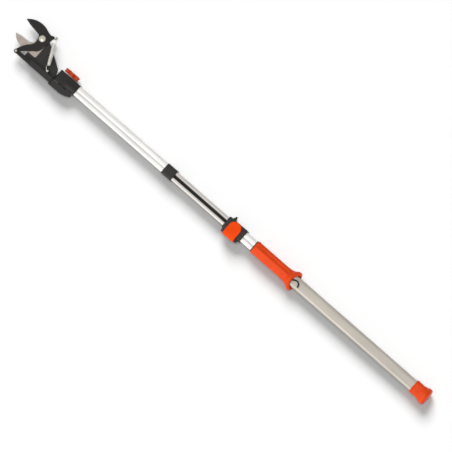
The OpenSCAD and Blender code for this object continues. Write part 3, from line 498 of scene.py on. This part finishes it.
def plate(name, node, low, high, thin, edge, looks, body, mouth=None, bevel=0.0):
    """A ground steel plate from a node's outline: broken edges, and a flat ground back from the cutting edge."""
    step = 0.8
    loop = eased(flat_loop(node, low), step)
    if mouth:
        loop, width = recut(loop, mouth, bevel)
        back = inset(loop, width)
    else:
        top = eased(flat_loop(node, high), step)
        back = [nearest(q, top) for q in loop]
        width = [(q - b).length for q, b in zip(loop, back)]
    count = len(loop)
    rim = unfolded(inset(loop, [edge] * count))
    widest = max(width)
    ground = [w > 2 * edge for w in width]
    drop = [max(edge, (high - low - thin) * w / widest) if g else edge for w, g in zip(width, ground)]
    face = unfolded([b if g else r for b, r, g in zip(back, rim, ground)])
    rings = [[(*q, low) for q in rim],
             [(*q, low + edge) for q in loop],
             [(*q, high - d) for q, d in zip(loop, drop)],
             [(*q, high) for q in face]]
    mesh = loft(name, rings)
    marks = [0] * len(mesh.polygons)
    for k in range(count):
        marks[2 * count + k] = int(ground[k] or ground[(k + 1) % count])
    mesh.polygons.foreach_set("material_index", marks)
    for look in looks:
        mesh.materials.append(finish(look))
    crease = 8
    smooth(mesh, crease)
    for flat in mesh.polygons[-2:]:
        flat.use_smooth = False
    return ready(name, mesh, [], body, node)


def loft(name, rings, closed=False):
    """A closed skin through rings of equal count: capped at both ends, or joined end to end."""
    count = len(rings[0])
    points = [p for ring in rings for p in ring]
    faces = []
    for i in range(len(rings) if closed else len(rings) - 1):
        a, b = i * count, (i + 1) % len(rings) * count
        faces += [(a + k, a + (k + 1) % count, b + (k + 1) % count, b + k) for k in range(count)]
    if not closed:
        faces += [tuple(range(count)), tuple(range((len(rings) - 1) * count, len(rings) * count))]
    mesh = bpy.data.meshes.new(name)
    mesh.from_pydata([Vector(p) * MM for p in points], [], faces)
    bm = bmesh.new()
    bm.from_mesh(mesh)
    bmesh.ops.recalc_face_normals(bm, faces=bm.faces)
    bm.to_mesh(mesh)
    bm.free()
    return mesh


def polyline(name, points):
    """A line of points, in mm, as an object."""
    mesh = bpy.data.meshes.new(name)
    mesh.from_pydata([Vector(p) * MM for p in points], [(i, i + 1) for i in range(len(points) - 1)], [])
    return placed(name, mesh)


def rounded_path(points, step):
    """A Catmull-Rom line through points, at about even steps."""
    pts = [Vector(p) for p in points]
    line = []
    for i in range(len(pts) - 1):
        p0, p1 = pts[max(i - 1, 0)], pts[i]
        p2, p3 = pts[i + 1], pts[min(i + 2, len(pts) - 1)]
        parts = max(2, round((p2 - p1).length / step))
        line += [catmull(p0, p1, p2, p3, k / parts) for k in range(parts)]
    line.append(pts[-1])
    return [tuple(p) for p in line]


def node_group(name, inputs):
    """A geometry tree with its named inputs, and its input node."""
    tree = bpy.data.node_groups.new(name, "GeometryNodeTree")
    tree.interface.new_socket("Geometry", in_out="INPUT", socket_type="NodeSocketGeometry")
    for title, kind in inputs:
        tree.interface.new_socket(title, in_out="INPUT", socket_type="NodeSocket" + kind)
    tree.interface.new_socket("Geometry", in_out="OUTPUT", socket_type="NodeSocketGeometry")
    return tree, add(tree, "NodeGroupInput")


def close_group(tree, geometry, material):
    """Ends a tree in Realize Instances and Set Material."""
    real = add(tree, "GeometryNodeRealizeInstances", {"Geometry": geometry})
    even = add(tree, "GeometryNodeSetShadeSmooth", {"Geometry": real})
    made = add(tree, "GeometryNodeSetMaterial", {"Geometry": even, "Material": material})
    add(tree, "NodeGroupOutput", {"Geometry": made})


def rod(tree, curve, radius, sides):
    """A round rod along a curve, in a geometry tree."""
    ring = add(tree, "GeometryNodeCurvePrimitiveCircle", {"Radius": radius, "Resolution": sides})
    return add(tree, "GeometryNodeCurveToMesh", {"Curve": curve, "Profile Curve": ring, "Fill Caps": True})


def sweep_group():
    """A round wire along a line of points."""
    if "sweep_wire" in bpy.data.node_groups:
        return bpy.data.node_groups["sweep_wire"]
    tree, given = node_group("sweep_wire", [("Diameter", "Float"), ("Sides", "Int"), ("Finish", "Material")])
    line = add(tree, "GeometryNodeMeshToCurve", {"Mesh": given.outputs["Geometry"]})
    half = add(tree, "ShaderNodeMath", {0: given.outputs["Diameter"], 1: 0.5}, operation="MULTIPLY")
    close_group(tree, rod(tree, line, half, given.outputs["Sides"]), given.outputs["Finish"])
    return tree


def braid_group():
    """A cord of strands that wind both ways, over and under each other, round a core."""
    if "braid_cord" in bpy.data.node_groups:
        return bpy.data.node_groups["braid_cord"]
    tree, given = node_group("braid_cord", [("Diameter", "Float"), ("Pitch", "Float"), ("Strands", "Int"),
                                            ("Finish", "Material")])
    across, pitch, strands = [given.outputs[key] for key in ("Diameter", "Pitch", "Strands")]
    turn_steps, core_sides, strand_sides = 18.0, 14, 5
    line = add(tree, "GeometryNodeMeshToCurve", {"Mesh": given.outputs["Geometry"]})
    step = add(tree, "ShaderNodeMath", {0: pitch, 1: turn_steps}, operation="DIVIDE")
    even = add(tree, "GeometryNodeResampleCurve", {"Curve": line, "Length": step}, mode="LENGTH")
    strand_r, lift, middle_r, core_r = [add(tree, "ShaderNodeMath", {0: across, 1: share}, operation="MULTIPLY")
                                        for share in (0.09, 0.02, 0.39, 0.43)]
    joined = add(tree, "GeometryNodeJoinGeometry", {"Geometry": rod(tree, even, core_r, core_sides)})
    along = add(tree, "GeometryNodeSplineParameter").outputs["Length"]
    turns = add(tree, "ShaderNodeMath", {0: along, 1: pitch}, operation="DIVIDE")
    angle = add(tree, "ShaderNodeMath", {0: turns, 1: math.tau}, operation="MULTIPLY")
    waves = add(tree, "ShaderNodeMath", {0: angle, 1: strands}, operation="MULTIPLY")
    wave = add(tree, "ShaderNodeMath", {0: waves}, operation="COSINE")
    tangent = add(tree, "GeometryNodeInputTangent")
    normal = add(tree, "GeometryNodeInputNormal")
    beside = add(tree, "ShaderNodeVectorMath", {0: tangent, 1: normal}, operation="CROSS_PRODUCT")
    for way in (1.0, -1.0):
        copies = add(tree, "GeometryNodeDuplicateElements", {"Geometry": even, "Amount": strands}, domain="SPLINE")
        share = add(tree, "ShaderNodeMath", {0: copies.outputs["Duplicate Index"], 1: strands}, operation="DIVIDE")
        offset = add(tree, "ShaderNodeMath", {0: share, 1: math.tau}, operation="MULTIPLY")
        wound = add(tree, "ShaderNodeMath", {0: angle, 1: way, 2: offset}, operation="MULTIPLY_ADD")
        over = add(tree, "ShaderNodeMath", {0: wave, 1: way}, operation="MULTIPLY")
        radius = add(tree, "ShaderNodeMath", {0: over, 1: lift, 2: middle_r}, operation="MULTIPLY_ADD")
        cosine, sine = [add(tree, "ShaderNodeMath", {0: wound}, operation=kind) for kind in ("COSINE", "SINE")]
        out = add(tree, "ShaderNodeVectorMath", {0: normal, "Scale": cosine}, operation="SCALE")
        side = add(tree, "ShaderNodeVectorMath", {0: beside, "Scale": sine}, operation="SCALE")
        ray = add(tree, "ShaderNodeVectorMath", {0: out, 1: side}, operation="ADD")
        shift = add(tree, "ShaderNodeVectorMath", {0: ray, "Scale": radius}, operation="SCALE")
        moved = add(tree, "GeometryNodeSetPosition", {"Geometry": copies, "Offset": shift})
        strand = rod(tree, moved, strand_r, strand_sides)
        tree.links.new(strand.outputs["Mesh"], joined.inputs["Geometry"])
    close_group(tree, joined, given.outputs["Finish"])
    return tree


def grown(name, points, tree, **values):
    """Runs a geometry tree on a line of points and keeps its result as a plain mesh."""
    piece = polyline(name, points)
    modifier = piece.modifiers.new("shape", "NODES")
    modifier.node_group = tree
    for socket in tree.interface.items_tree:
        key = socket.name.lower()
        if socket.in_out == "INPUT" and key in values:
            modifier[socket.identifier] = values[key]
    made = evaluated(piece)
    piece.modifiers.clear()
    piece.data = made
    return piece


# Places in mm, as in the part's source
PIVOT = Vector((1526.9, -47.2, 0))
ANCHOR_POST = PIVOT + Vector((-74, 60.2, 0))
TAIL_POST = PIVOT + Vector((-29.6, -26.6, 0))
TILT_X = 1392.3
CORD_Z = 10.45
CORD_TOP = 1370.0
LINK_Z = 7.6
GRIP_X = 504.0
CLAMP_FOOT = -25.9


class PRUNER_OT_tubes(bpy.types.Operator):
    """Finishes the four aluminium tubes and the plastic guides between them"""
    bl_idname = "pruner.tubes"
    bl_label = "Tubes and guides"

    def execute(self, context):
        paint("handle_tube", "grey_aluminium", "handle_aluminium")
        paint("inner_tube", "grey_aluminium")
        for node in ("outer_tube", "head_tube"):
            paint(node, "bright_aluminium")
        for node in ("top_bush", "guide_shoe", "brake_shoe", "friction_disc"):
            paint(node, "black_plastic")
        return {"FINISHED"}


def tail_route(thick):
    """The spare end of the cord, from inside the grip: two wide bows, then a straight end."""
    def heading(a):
        return Vector((math.cos(math.radians(a)), math.sin(math.radians(a))))

    bow, lean, swing, rest, gap, fine = 2.5 * thick, 38, 104, 7.0, 1.0, 20
    hidden, mouth = 36.5, 13.5
    near = Vector((mouth, -bow))
    far = near + 2 * bow * heading(90 + lean) + gap * heading(180 + lean)
    stop = lean - 90 - swing
    line = [Vector((mouth + hidden - hidden * i / fine, 0)) for i in range(fine)]
    line += [near + bow * heading(90 + lean * i / fine) for i in range(fine + 1)]
    line += [far + bow * heading(lean - 90 - swing * i / (2 * fine)) for i in range(2 * fine + 1)]
    line += [far + bow * heading(stop) + rest * heading(stop - 90) * i / 5 for i in range(1, 6)]
    return line


class PRUNER_OT_cords(bpy.types.Operator):
    """Braids the pull cord, its run through the tilt joint and its loose tail"""
    bl_idname = "pruner.cords"
    bl_label = "Cords"

    def execute(self, context):
        s = sizes()
        slot = "cord_fibre"
        fibre = finish(slot)
        braid = braid_group()
        common = dict(pitch=s.braid_pitch, strands=s.strands, finish=fibre)
        foot, low, high = 245.0, 420.0, 1040.0
        pull = grown("pull_cord_braid", [(low, 0, CORD_Z), (high, 0, CORD_Z)], braid, diameter=s.cord, **common)
        attach(pull, "cord", "pull_cord")
        for name, start, stop in (("pull_cord_foot", foot, low), ("pull_cord_top", high, CORD_TOP)):
            run = grown(name, [(start, 0, CORD_Z), (stop, 0, CORD_Z)], sweep_group(),
                        diameter=s.cord, sides=16, finish=fibre)
            attach(run, "cord", "pull_cord")

        meet_x, end_x, end_y = TILT_X + 26, 1494.1, 28.1
        roller_top, turn_room = 7.4, 9
        bend = rounded_path([(CORD_TOP + 0.3, 0, CORD_Z), (CORD_TOP + 5, 0.4, CORD_Z),
                             (TILT_X - 11, 5, CORD_Z - 0.6), (TILT_X - 4, 11.4, roller_top + 0.6),
                             (TILT_X + 2, 17, roller_top), (TILT_X + 8, 22, roller_top),
                             (TILT_X + 16, 26, roller_top), (meet_x, end_y, LINK_Z)], 1.5)
        over = grown("head_cord_bend", bend, braid, diameter=s.tail, **common)
        attach(over, None, "head_cord")
        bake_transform(over)
        run = grown("head_cord_run", [(meet_x, end_y, LINK_Z), (end_x, end_y, LINK_Z)], braid,
                    diameter=s.tail, **common)
        attach(run, "head", "head_cord")
        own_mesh(run)

        tail_z = 20.6
        path = [(GRIP_X + x, y, tail_z) for x, y in tail_route(s.tail / MM)]
        tail = grown("cord_tail_braid", path, braid, diameter=s.tail, **common)
        attach(tail, "grip", "cord_tail")
        return {"FINISHED"}


def spring_path(s):
    """A hook round each post, joined by one close-wound coil, as the solid has it but with finer steps."""
    wire, post, gap = s.wire / MM, 3.5, 0.3
    coil_r = (s.coil / MM - wire) / 2
    pitch = wire + 0.5
    hook_r = post / 2 + gap + wire / 2
    span = (TAIL_POST - ANCHOR_POST).length
    run_in, coil_len, fine = 6, 76, 28
    turns = math.floor((coil_len - 2 * run_in) / pitch)
    wound = turns * pitch
    coil_in = (span - wound) / 2 - run_in

    def wound_at(x, degrees):
        a = math.radians(degrees)
        return coil_in + x, coil_r * math.cos(a), coil_r * math.sin(a)

    hook = [math.radians(350 - 260 * i / 30) for i in range(31)]
    half = [(hook_r * math.cos(a), hook_r * math.sin(a), 0) for a in hook]
    half += [(coil_in * t, hook_r + (coil_r - hook_r) * ramp(t, 0, 1), 0) for t in (i / 7 for i in range(1, 7))]
    half += [wound_at(run_in * (1.6 * t - 0.6 * t * t), 180 * t * t) for t in (i / fine for i in range(fine))]
    coil = [wound_at(run_in + pitch * i / fine, 180 + 360 * i / fine) for i in range(turns * fine + 1)]
    local = half + coil + [(span - x, -y, z) for x, y, z in reversed(half)]
    axis = (TAIL_POST - ANCHOR_POST).normalized()
    side = Vector((-axis.y, axis.x, 0))
    spring_z = 12.6
    return [tuple(ANCHOR_POST + axis * x + side * y + Vector((0, 0, spring_z + z))) for x, y, z in local]


class PRUNER_OT_spring(bpy.types.Operator):
    """Winds the return spring between its two posts"""
    bl_idname = "pruner.spring"
    bl_label = "Return spring"

    def execute(self, context):
        s = sizes()
        # A little thicker than the solid's wire, so that the turns nearly close up
        thick = s.wire * 1.2
        spring = grown("return_spring_coil", spring_path(s), sweep_group(), diameter=thick, sides=10,
                       finish=finish("spring_steel"))
        attach(spring, None, "return_spring")
        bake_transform(spring)
        return {"FINISHED"}


class PRUNER_OT_fasteners(bpy.types.Operator):
    """Finishes the bolts, pins, posts, rivets and washers"""
    bl_idname = "pruner.fasteners"
    bl_label = "Fasteners"

    def execute(self, context):
        for node in ("cap_rivets", "tube_rivets", "grip_carrier", "cleat_screw", "lever_pin", "clamp_set_screw",
                     "collar_rivets", "socket_screws", "tilt_bolt", "tilt_washer", "guide_roller", "blade_rivets",
                     "pivot_nut", "pivot_washer", "tail_post", "anchor_post", "link_pin", "cord_ferrule",
                     "pivot_bolt"):
            paint(node, "fastener_steel")
        paint("adjust_screw", "black_plastic")
        return {"FINISHED"}


def knob_rings():
    """A hand knob turned about its bolt: lobes with rolled edges, and a dished outer face."""
    around, lobes, lobe_r, outer_r = 180, 6, 7.0, 26.0
    centre_r = outer_r - lobe_r
    hub_r = centre_r - 4
    near, far, roll, dish_r = -19.6, -32.4, 3.2, 11.0
    reach = []
    for i in range(around):
        a = (math.tau * i / around + math.pi / 2) % (math.tau / lobes)
        a = min(a, math.tau / lobes - a)
        off = centre_r * math.sin(a)
        lobe = centre_r * math.cos(a) + math.sqrt(lobe_r ** 2 - off ** 2) if abs(off) < lobe_r else 0
        reach.append(max(hub_r, lobe))
    blur = 3
    reach = [sum(reach[(i + k) % around] for k in range(-blur, blur + 1)) / (2 * blur + 1)
             for i in range(around)]

    def ring(y, change):
        return [(TILT_X + change(r) * math.cos(math.tau * i / around), y,
                 change(r) * math.sin(math.tau * i / around)) for i, r in enumerate(reach)]

    middle, groove = (near + far) / 2, 1.6
    corner = [(roll * (1 - math.cos(a)), roll * (1 - math.sin(a))) for a in (math.radians(15 * k) for k in range(7))]
    profile = [(near - down, sunk) for down, sunk in corner]
    profile += [(middle + y, groove * part) for y, part in ((1.8, 0), (1.1, 0.5), (0.5, 1), (-0.5, 1), (-1.1, 0.5),
                                                            (-1.8, 0))]
    profile += [(far + down, sunk) for sunk, down in corner]
    dish = ((far, 1.2), (far + 0.4, 0), (far + 1.4, -0.5), (far + 1.6, -1.5))
    return ([ring(y, lambda r: r - sunk) for y, sunk in profile]
            + [ring(y, lambda r: dish_r + wider) for y, wider in dish])


def ray_to_square(a, half, r):
    """How far a rounded square reaches in direction a."""
    long, short = sorted((abs(math.cos(a)), abs(math.sin(a))), reverse=True)
    flat = half / long
    middle = half - r
    if flat * short <= middle:
        return flat
    toward = middle * (long + short)
    return toward + math.sqrt(toward ** 2 - 2 * middle ** 2 + r ** 2)


def ray_to_rod(a, z, r):
    """How far a round bar at height z reaches in direction a from the vertical, or 0 where it is missed."""
    room = r ** 2 - (z * math.sin(a)) ** 2
    return z * math.cos(a) + math.sqrt(room) if room > 0 and math.cos(a) > 0 else 0


def fused(a, b, soft):
    """The larger of two reaches, with a fillet where they meet."""
    near = max(soft - abs(a - b), 0) / soft
    return max(a, b) + near * near * soft / 4


def through(x, low, middle, high):
    """A curve through three points, as (x, value)."""
    total = 0
    for i, (x0, v0) in enumerate((low, middle, high)):
        part = v0
        for j, (x1, _) in enumerate((low, middle, high)):
            if i != j:
                part *= (x - x1) / (x0 - x1)
        total += part
    return total


def grip_rings():
    """The pull grip as one shell: a square sleeve with a ridge over the carrier, which opens into a bell.

    The bell's lip is thick and rolled, and dips at the top where the cord comes out.
    """
    around, end, dip = 240, 158.0, 12.0
    half, corner, bore, bore_corner = 19.8, 9.7, 18.4, 8.3
    ridge_z, ridge_r, back = 16.1, 8.5, 26.0
    lip_r, lip_x, neck_x = 23.5, 8.0, 38.0
    pocket_y, pocket_z, channel_z, channel_r = 4.9, 21.4, 20.6, 2.8
    turn = [math.tau * i / around for i in range(around)]

    def ring(x, reach):
        made = []
        for a in turn:
            r = reach(a)
            shift = dip * max(0, math.cos(a)) ** 1.3 * (1 - ramp(x, lip_x, neck_x))
            z = r * math.cos(a)
            soft = 2.0
            if z < soft - back:
                z = soft - back - soft * (1 - math.exp((z - soft + back) / soft))
            made.append((GRIP_X + x + shift, r * math.sin(a), z))
        return made

    def sleeve(a, x, grow):
        rest = max(0, x - end + ridge_r)
        ridge = ray_to_rod(a, ridge_z, math.sqrt(max(ridge_r ** 2 - rest ** 2, 0.01)))
        r = fused(ray_to_square(a, half + grow, corner + grow), ridge + min(grow, 0), 3.0)
        crease = 0.6 * math.exp(-((r * math.sin(a) - 1) / 1.4) ** 2) if math.cos(a) > 0.5 else 0
        return r - crease * ramp(x, neck_x - 8, neck_x + 12) * (1 - ramp(x, end - 14, end - 6))

    def outer(x, bell_r, grow=0.0):
        sink = 7 * (1 - ramp(x, 12, 26))
        return ring(x, lambda a: fused(sleeve(a, x, grow) - sink, bell_r, 4.0))

    def inner(x):
        hollow = through(x, (0, lip_r - 0.6), (neck_x / 2, 18.6), (neck_x, 15)) if x < neck_x else 0

        def reach(a):
            r = max(ray_to_square(a, bore, bore_corner), hollow)
            if 19 < x < 141 and math.cos(a) > 0:
                r = max(r, min(pocket_z / math.cos(a), pocket_y / max(abs(math.sin(a)), 1e-6)))
            return max(r, ray_to_rod(a, channel_z, channel_r)) if x < 79 else r

        return ring(x, reach)

    rings = [outer(end, 0, -0.8), outer(end - 0.25, 0, -0.2), outer(end - 0.9, 0, 0.5), outer(end - 2, 0, 0.8),
             outer(end - 4, 0, 0.8), outer(end - 6, 0, 0.45), outer(end - 8, 0, 0.15)]
    rings += [outer(end - 11 - 6 * i, 0) for i in range(18)]
    flare = [neck_x + 1 - 1.5 * i for i in range(16)]
    behind = math.radians(60)
    shoulder = (lip_x + lip_x * math.sin(behind), lip_r + lip_x * math.cos(behind))
    rings += [outer(x, through(x, shoulder, (26.5, 22.6), (neck_x, 19.4))) for x in flare]
    for i in range(17):
        a = behind - (behind + math.pi / 2) * i / 16
        rings.append(outer(lip_x + lip_x * math.sin(a), lip_r + lip_x * math.cos(a), -2.0))
    rings += [inner(x) for x in (0.5, 1.5, 3, 5, 8, 11, 14, 17, 18.9, 19.1, 23, 28, 34, 40, 78, 80, 110, 140, 142,
                                 end)]
    return rings


def lever_mesh():
    """The clamp's lever: a strip with a round thumb end and rolled edges, bent down over its cam."""
    middle_x, half, thick, roll = 739.0, 20.0, 4.2, 1.9
    tip_y, top_z, foot_z, wall_y, bend = -20.4, 25.1, 3.8, 32.4, 13.0
    centre_y, centre_z, bend_r = wall_y - bend, top_z - bend, bend - thick / 2
    flat = centre_y - tip_y
    turned = flat + bend_r * math.pi / 2
    end = turned + centre_z - foot_z

    def strip(s):
        a = max(0, min(1, (s - flat) / (turned - flat))) * math.pi / 2
        out = (math.sin(a), math.cos(a))
        over, under = min(0, s - flat), max(0, s - turned)
        y, z = centre_y + bend_r * out[0] + over, centre_z + bend_r * out[1] - under
        wide = math.sqrt(half ** 2 - max(0, half - s) ** 2)
        top, low = [], []
        for k in range(29):
            x = -wide * math.cos(math.pi * k / 28)
            rim = half - math.hypot(max(0, half - s), x)
            lift = thick / 2 - roll + math.sqrt(max(0, roll ** 2 - max(0, roll - min(rim, end - s)) ** 2))
            top.append((middle_x + x, y + lift * out[0], z + lift * out[1]))
            low.append((middle_x + x, y - lift * out[0], z - lift * out[1]))
        return top + low[::-1]

    stations = [0.01] + [half * (1 - math.cos(math.pi / 2 * i / 24)) for i in range(2, 25)]
    stations += [half + (flat - half) * i / 4 for i in range(1, 5)]
    stations += [flat + (turned - flat) * i / 16 for i in range(1, 17)]
    stations += [turned + 3, end - 2, end - 1.2, end - 0.6, end - 0.2, end]
    cam_y, cam_z, cam_r = 23.7, 8.0, 6.0
    outline = [(cam_r * math.cos(math.radians(a)), cam_r * math.sin(math.radians(a))) for a in range(45, 320, 9)]
    outline += [(wall_y - 2 - cam_y, -thick), (wall_y - 2 - cam_y, thick)]
    cam = [[(middle_x + x, cam_y + y * g, cam_z + z * g) for y, z in outline]
           for x, g in ((-half, 0.9), (0.6 - half, 1), (half - 0.6, 1), (half, 0.9))]
    bm = bmesh.new()
    for rings in ([strip(s) for s in stations], cam):
        bm.from_mesh(loft("lever_part", rings))
    return meshed(bm, "lever_moulding")


class PRUNER_OT_plastics(bpy.types.Operator):
    """Moulds the cap, grip, clamp, lever, collar, socket and knob"""
    bl_idname = "pruner.plastics"
    bl_label = "Moulded pieces"

    def execute(self, context):
        orange, black, crease = "orange_plastic", "black_plastic", 50
        rounded_over("butt_cap_moulding", "butt_cap", cell_mm=0.6, passes=8, body="root", slot=orange)
        grip = settled(loft("grip_moulding", grip_rings(), closed=True), crease)
        ready("grip_moulding", grip, [orange], "grip", "grip")
        softened("clamp_moulding", "clamp_body", sizes().edge, "root", black, above=CLAMP_FOOT)
        ready("lever_moulding", settled(lever_mesh(), crease), ["lever_orange"], "lever", "clamp_lever")
        rounded_over("collar_moulding", "guide_collar", cell_mm=0.5, passes=5, body="pole", slot=black)
        paint("tilt_socket", black, "socket_black")
        knob = settled(loft("knob_moulding", knob_rings()), crease)
        ready("knob_moulding", knob, ["knob_painted_shade_orange"], "knob", "tilt_knob")
        return {"FINISHED"}


class PRUNER_OT_head(bpy.types.Operator):
    """Finishes the head body, both blades and the link"""
    bl_idname = "pruner.head"
    bl_label = "Cutting head"

    def execute(self, context):
        s = sizes()
        casting_edge, edge = s.edge * 0.7, s.plate_edge / MM
        softened("head_casting", "head_body", casting_edge, "head", "black_plastic")
        mouth = [(1541.2, -49.5), (1539.4, -42), (1537.6, -35), (1538, -29), (1540.6, -23.6), (1545.5, -19.6),
                 (1551.5, -17.3), (1558, -16.4), (1566, -16.2), (1574, -15.9), (1582, -14.9), (1590, -13.1),
                 (1597.6, -11.2)]
        plate("hook_plate", "counter_blade", low=-2.0, high=2.0, thin=2.0, edge=edge, body="head",
              looks=["blade_steel", "ground_edge"], mouth=mouth, bevel=2.4)
        plate("blade_plate", "blade", low=2.3, high=5.8, thin=0.6, edge=edge, body="blade",
              looks=["coated_steel", "coated_bevel"])
        softened("link_bar", "link", s.plate_edge, "link", "coated_steel")
        return {"FINISHED"}


# The photo's view: its lean from straight above, how the pole runs across it, its centre and its width in metres
VIEW_LEAN = math.radians(9)
VIEW_ACROSS = (-0.752, -0.659)
VIEW_CENTRE = Vector((0.7658, 0.0096, 0.0))
VIEW_WIDTH = 1.2955


def lamp(name, kind, power, place_at, aim, lit, **settings):
    """A lamp that looks at a point and lights one collection alone."""
    light = bpy.data.lights.new(name, kind)
    light.energy = power
    for key, value in settings.items():
        setattr(light, key, value)
    holder = placed(name, light)
    holder.location = place_at
    holder.rotation_mode = "QUATERNION"
    holder.rotation_quaternion = (Vector(aim) - Vector(place_at)).to_track_quat("-Z", "Y")
    holder.light_linking.receiver_collection = lit


def gathered(name, pieces):
    """A collection that a lamp can be kept to."""
    made = bpy.data.collections.new(name)
    for piece in pieces:
        made.objects.link(piece)
    return made


def paper_floor(stage):
    """A wide sheet of pale paper, just under the part."""
    floor_z, reach = CAD_BOX[0][2] - 0.0003, 14.0
    corners = ((-reach, -reach), (reach, -reach), (reach, reach), (-reach, reach))
    mesh = bpy.data.meshes.new("studio_floor")
    mesh.from_pydata([(x, y, floor_z) for x, y in corners], [], [(0, 1, 2, 3)])
    paper, tree = blank("studio_paper")
    skin = add(tree, "ShaderNodeBsdfPrincipled", {"Base Color": stage.floor, "Roughness": 0.9,
                                                  "Specular IOR Level": 0.0})
    add(tree, "ShaderNodeOutputMaterial", {"Surface": skin})
    mesh.materials.append(paper)
    floor = placed("studio_floor", mesh)
    return floor


def studio_sky(stage):
    """An even sky, brighter on the lamp's side, and brighter again where a gloss mirrors it."""
    world = bpy.data.worlds.new("studio_sky")
    world.use_nodes = True
    tree = world.node_tree
    tree.nodes.clear()
    place = add(tree, "ShaderNodeTexCoord").outputs["Generated"]
    side = add(tree, "ShaderNodeSeparateXYZ", {"Vector": place}).outputs["Y"]
    skies = []
    for low, high, stop in ((0.55 * stage.sky, 1.45 * stage.sky, 1.0), (0.74, 1.0, 0.2)):
        level = add(tree, "ShaderNodeMapRange", {"Value": side, "From Min": -1.0, "From Max": stop,
                                                 "To Min": low, "To Max": high})
        skies.append(add(tree, "ShaderNodeBackground", {"Color": (1, 1, 1, 1), "Strength": level}))
    glossy = add(tree, "ShaderNodeLightPath").outputs["Is Glossy Ray"]
    both = add(tree, "ShaderNodeMixShader", {0: glossy, 1: skies[0], 2: skies[1]})
    add(tree, "ShaderNodeOutputWorld", {"Surface": both})
    return world


def photo_camera():
    """A long lens nearly straight over the pole, turned so that the pole lies across the picture as in the photo."""
    distance = 30.0
    lens = bpy.data.cameras.new("photo_camera")
    lens.sensor_width = 36.0
    lens.lens = lens.sensor_width * distance / VIEW_WIDTH
    lens.clip_end = 100.0
    camera = placed("photo_camera", lens)
    back = Vector((-math.sin(VIEW_LEAN), 0, math.cos(VIEW_LEAN)))
    along = Vector((math.cos(VIEW_LEAN), 0, math.sin(VIEW_LEAN)))
    right = (VIEW_ACROSS[0] * along + VIEW_ACROSS[1] * Vector((0, 1, 0))).normalized()
    turn = Matrix((right, back.cross(right), back)).transposed().to_4x4()
    turn.translation = VIEW_CENTRE + back * distance
    camera.matrix_world = turn
    return camera


class PRUNER_OT_stage(bpy.types.Operator):
    """Lays the pale floor, hangs the lamps and sets the camera over the pole"""
    bl_idname = "pruner.stage"
    bl_label = "Stage"

    def execute(self, context):
        scene = context.scene
        stage = scene.pruner_stage
        scene.view_settings.view_transform = "Standard"
        pole_set = gathered("lit_pole", [piece for piece in scene.objects if piece.type == "MESH"])
        orange_set = gathered("lit_orange", [bpy.data.objects[name] for name in
                                             ("butt_cap_moulding", "grip_moulding", "lever_moulding")])
        floor_set = gathered("lit_floor", [paper_floor(stage)])
        scene.world = studio_sky(stage)
        aim = (0.8, 0, 0)
        lamp("shadow_lamp", "SUN", stage.key, (2.3, -1.7, 2.0), aim, floor_set, angle=math.radians(31))
        lamp("floor_lamp", "SUN", stage.fill, (0.5, 0, 3), aim, floor_set, angle=math.radians(20))
        lamp("side_lamp", "AREA", stage.edge, (0.8, 1.6, 2.2), aim, pole_set, size=1.8, specular_factor=0.4)
        lamp("top_lamp", "AREA", stage.top, (0.8, 0.5, 2.8), aim, orange_set, size=1.8, specular_factor=0.3)
        scene.camera = photo_camera()
        return {"FINISHED"}


class PRUNER_PT_panel(bpy.types.Panel):
    """Lists the pieces of the pruner pole"""
    bl_idname = "PRUNER_PT_panel"
    bl_label = "Tree pruner pole"
    bl_space_type = "VIEW_3D"
    bl_region_type = "UI"
    bl_category = "Pruner"

    def draw(self, context):
        for made in OPERATORS:
            self.layout.operator(made.bl_idname)
        for group in ("pruner_sizes", "pruner_colours", "pruner_stage"):
            settings = getattr(context.scene, group)
            column = self.layout.column(align=True)
            for key in type(settings).__annotations__:
                column.prop(settings, key)


OPERATORS = (PRUNER_OT_tubes, PRUNER_OT_cords, PRUNER_OT_plastics, PRUNER_OT_head, PRUNER_OT_spring,
             PRUNER_OT_fasteners, PRUNER_OT_stage)
GROUPS = {"pruner_sizes": PrunerSizes, "pruner_colours": PrunerColours, "pruner_stage": PrunerStage}


def register():
    for kind in (*GROUPS.values(), *OPERATORS, PRUNER_PT_panel):
        bpy.utils.register_class(kind)
    for name, group in GROUPS.items():
        setattr(bpy.types.Scene, name, PointerProperty(type=group))


def unregister():
    for name in GROUPS:
        delattr(bpy.types.Scene, name)
    for kind in reversed((*GROUPS.values(), *OPERATORS, PRUNER_PT_panel)):
        bpy.utils.unregister_class(kind)


def main():
    register()
    for made in OPERATORS:
        group, name = made.bl_idname.split(".")
        getattr(getattr(bpy.ops, group), name)()


if __name__ == "__main__":
    main()
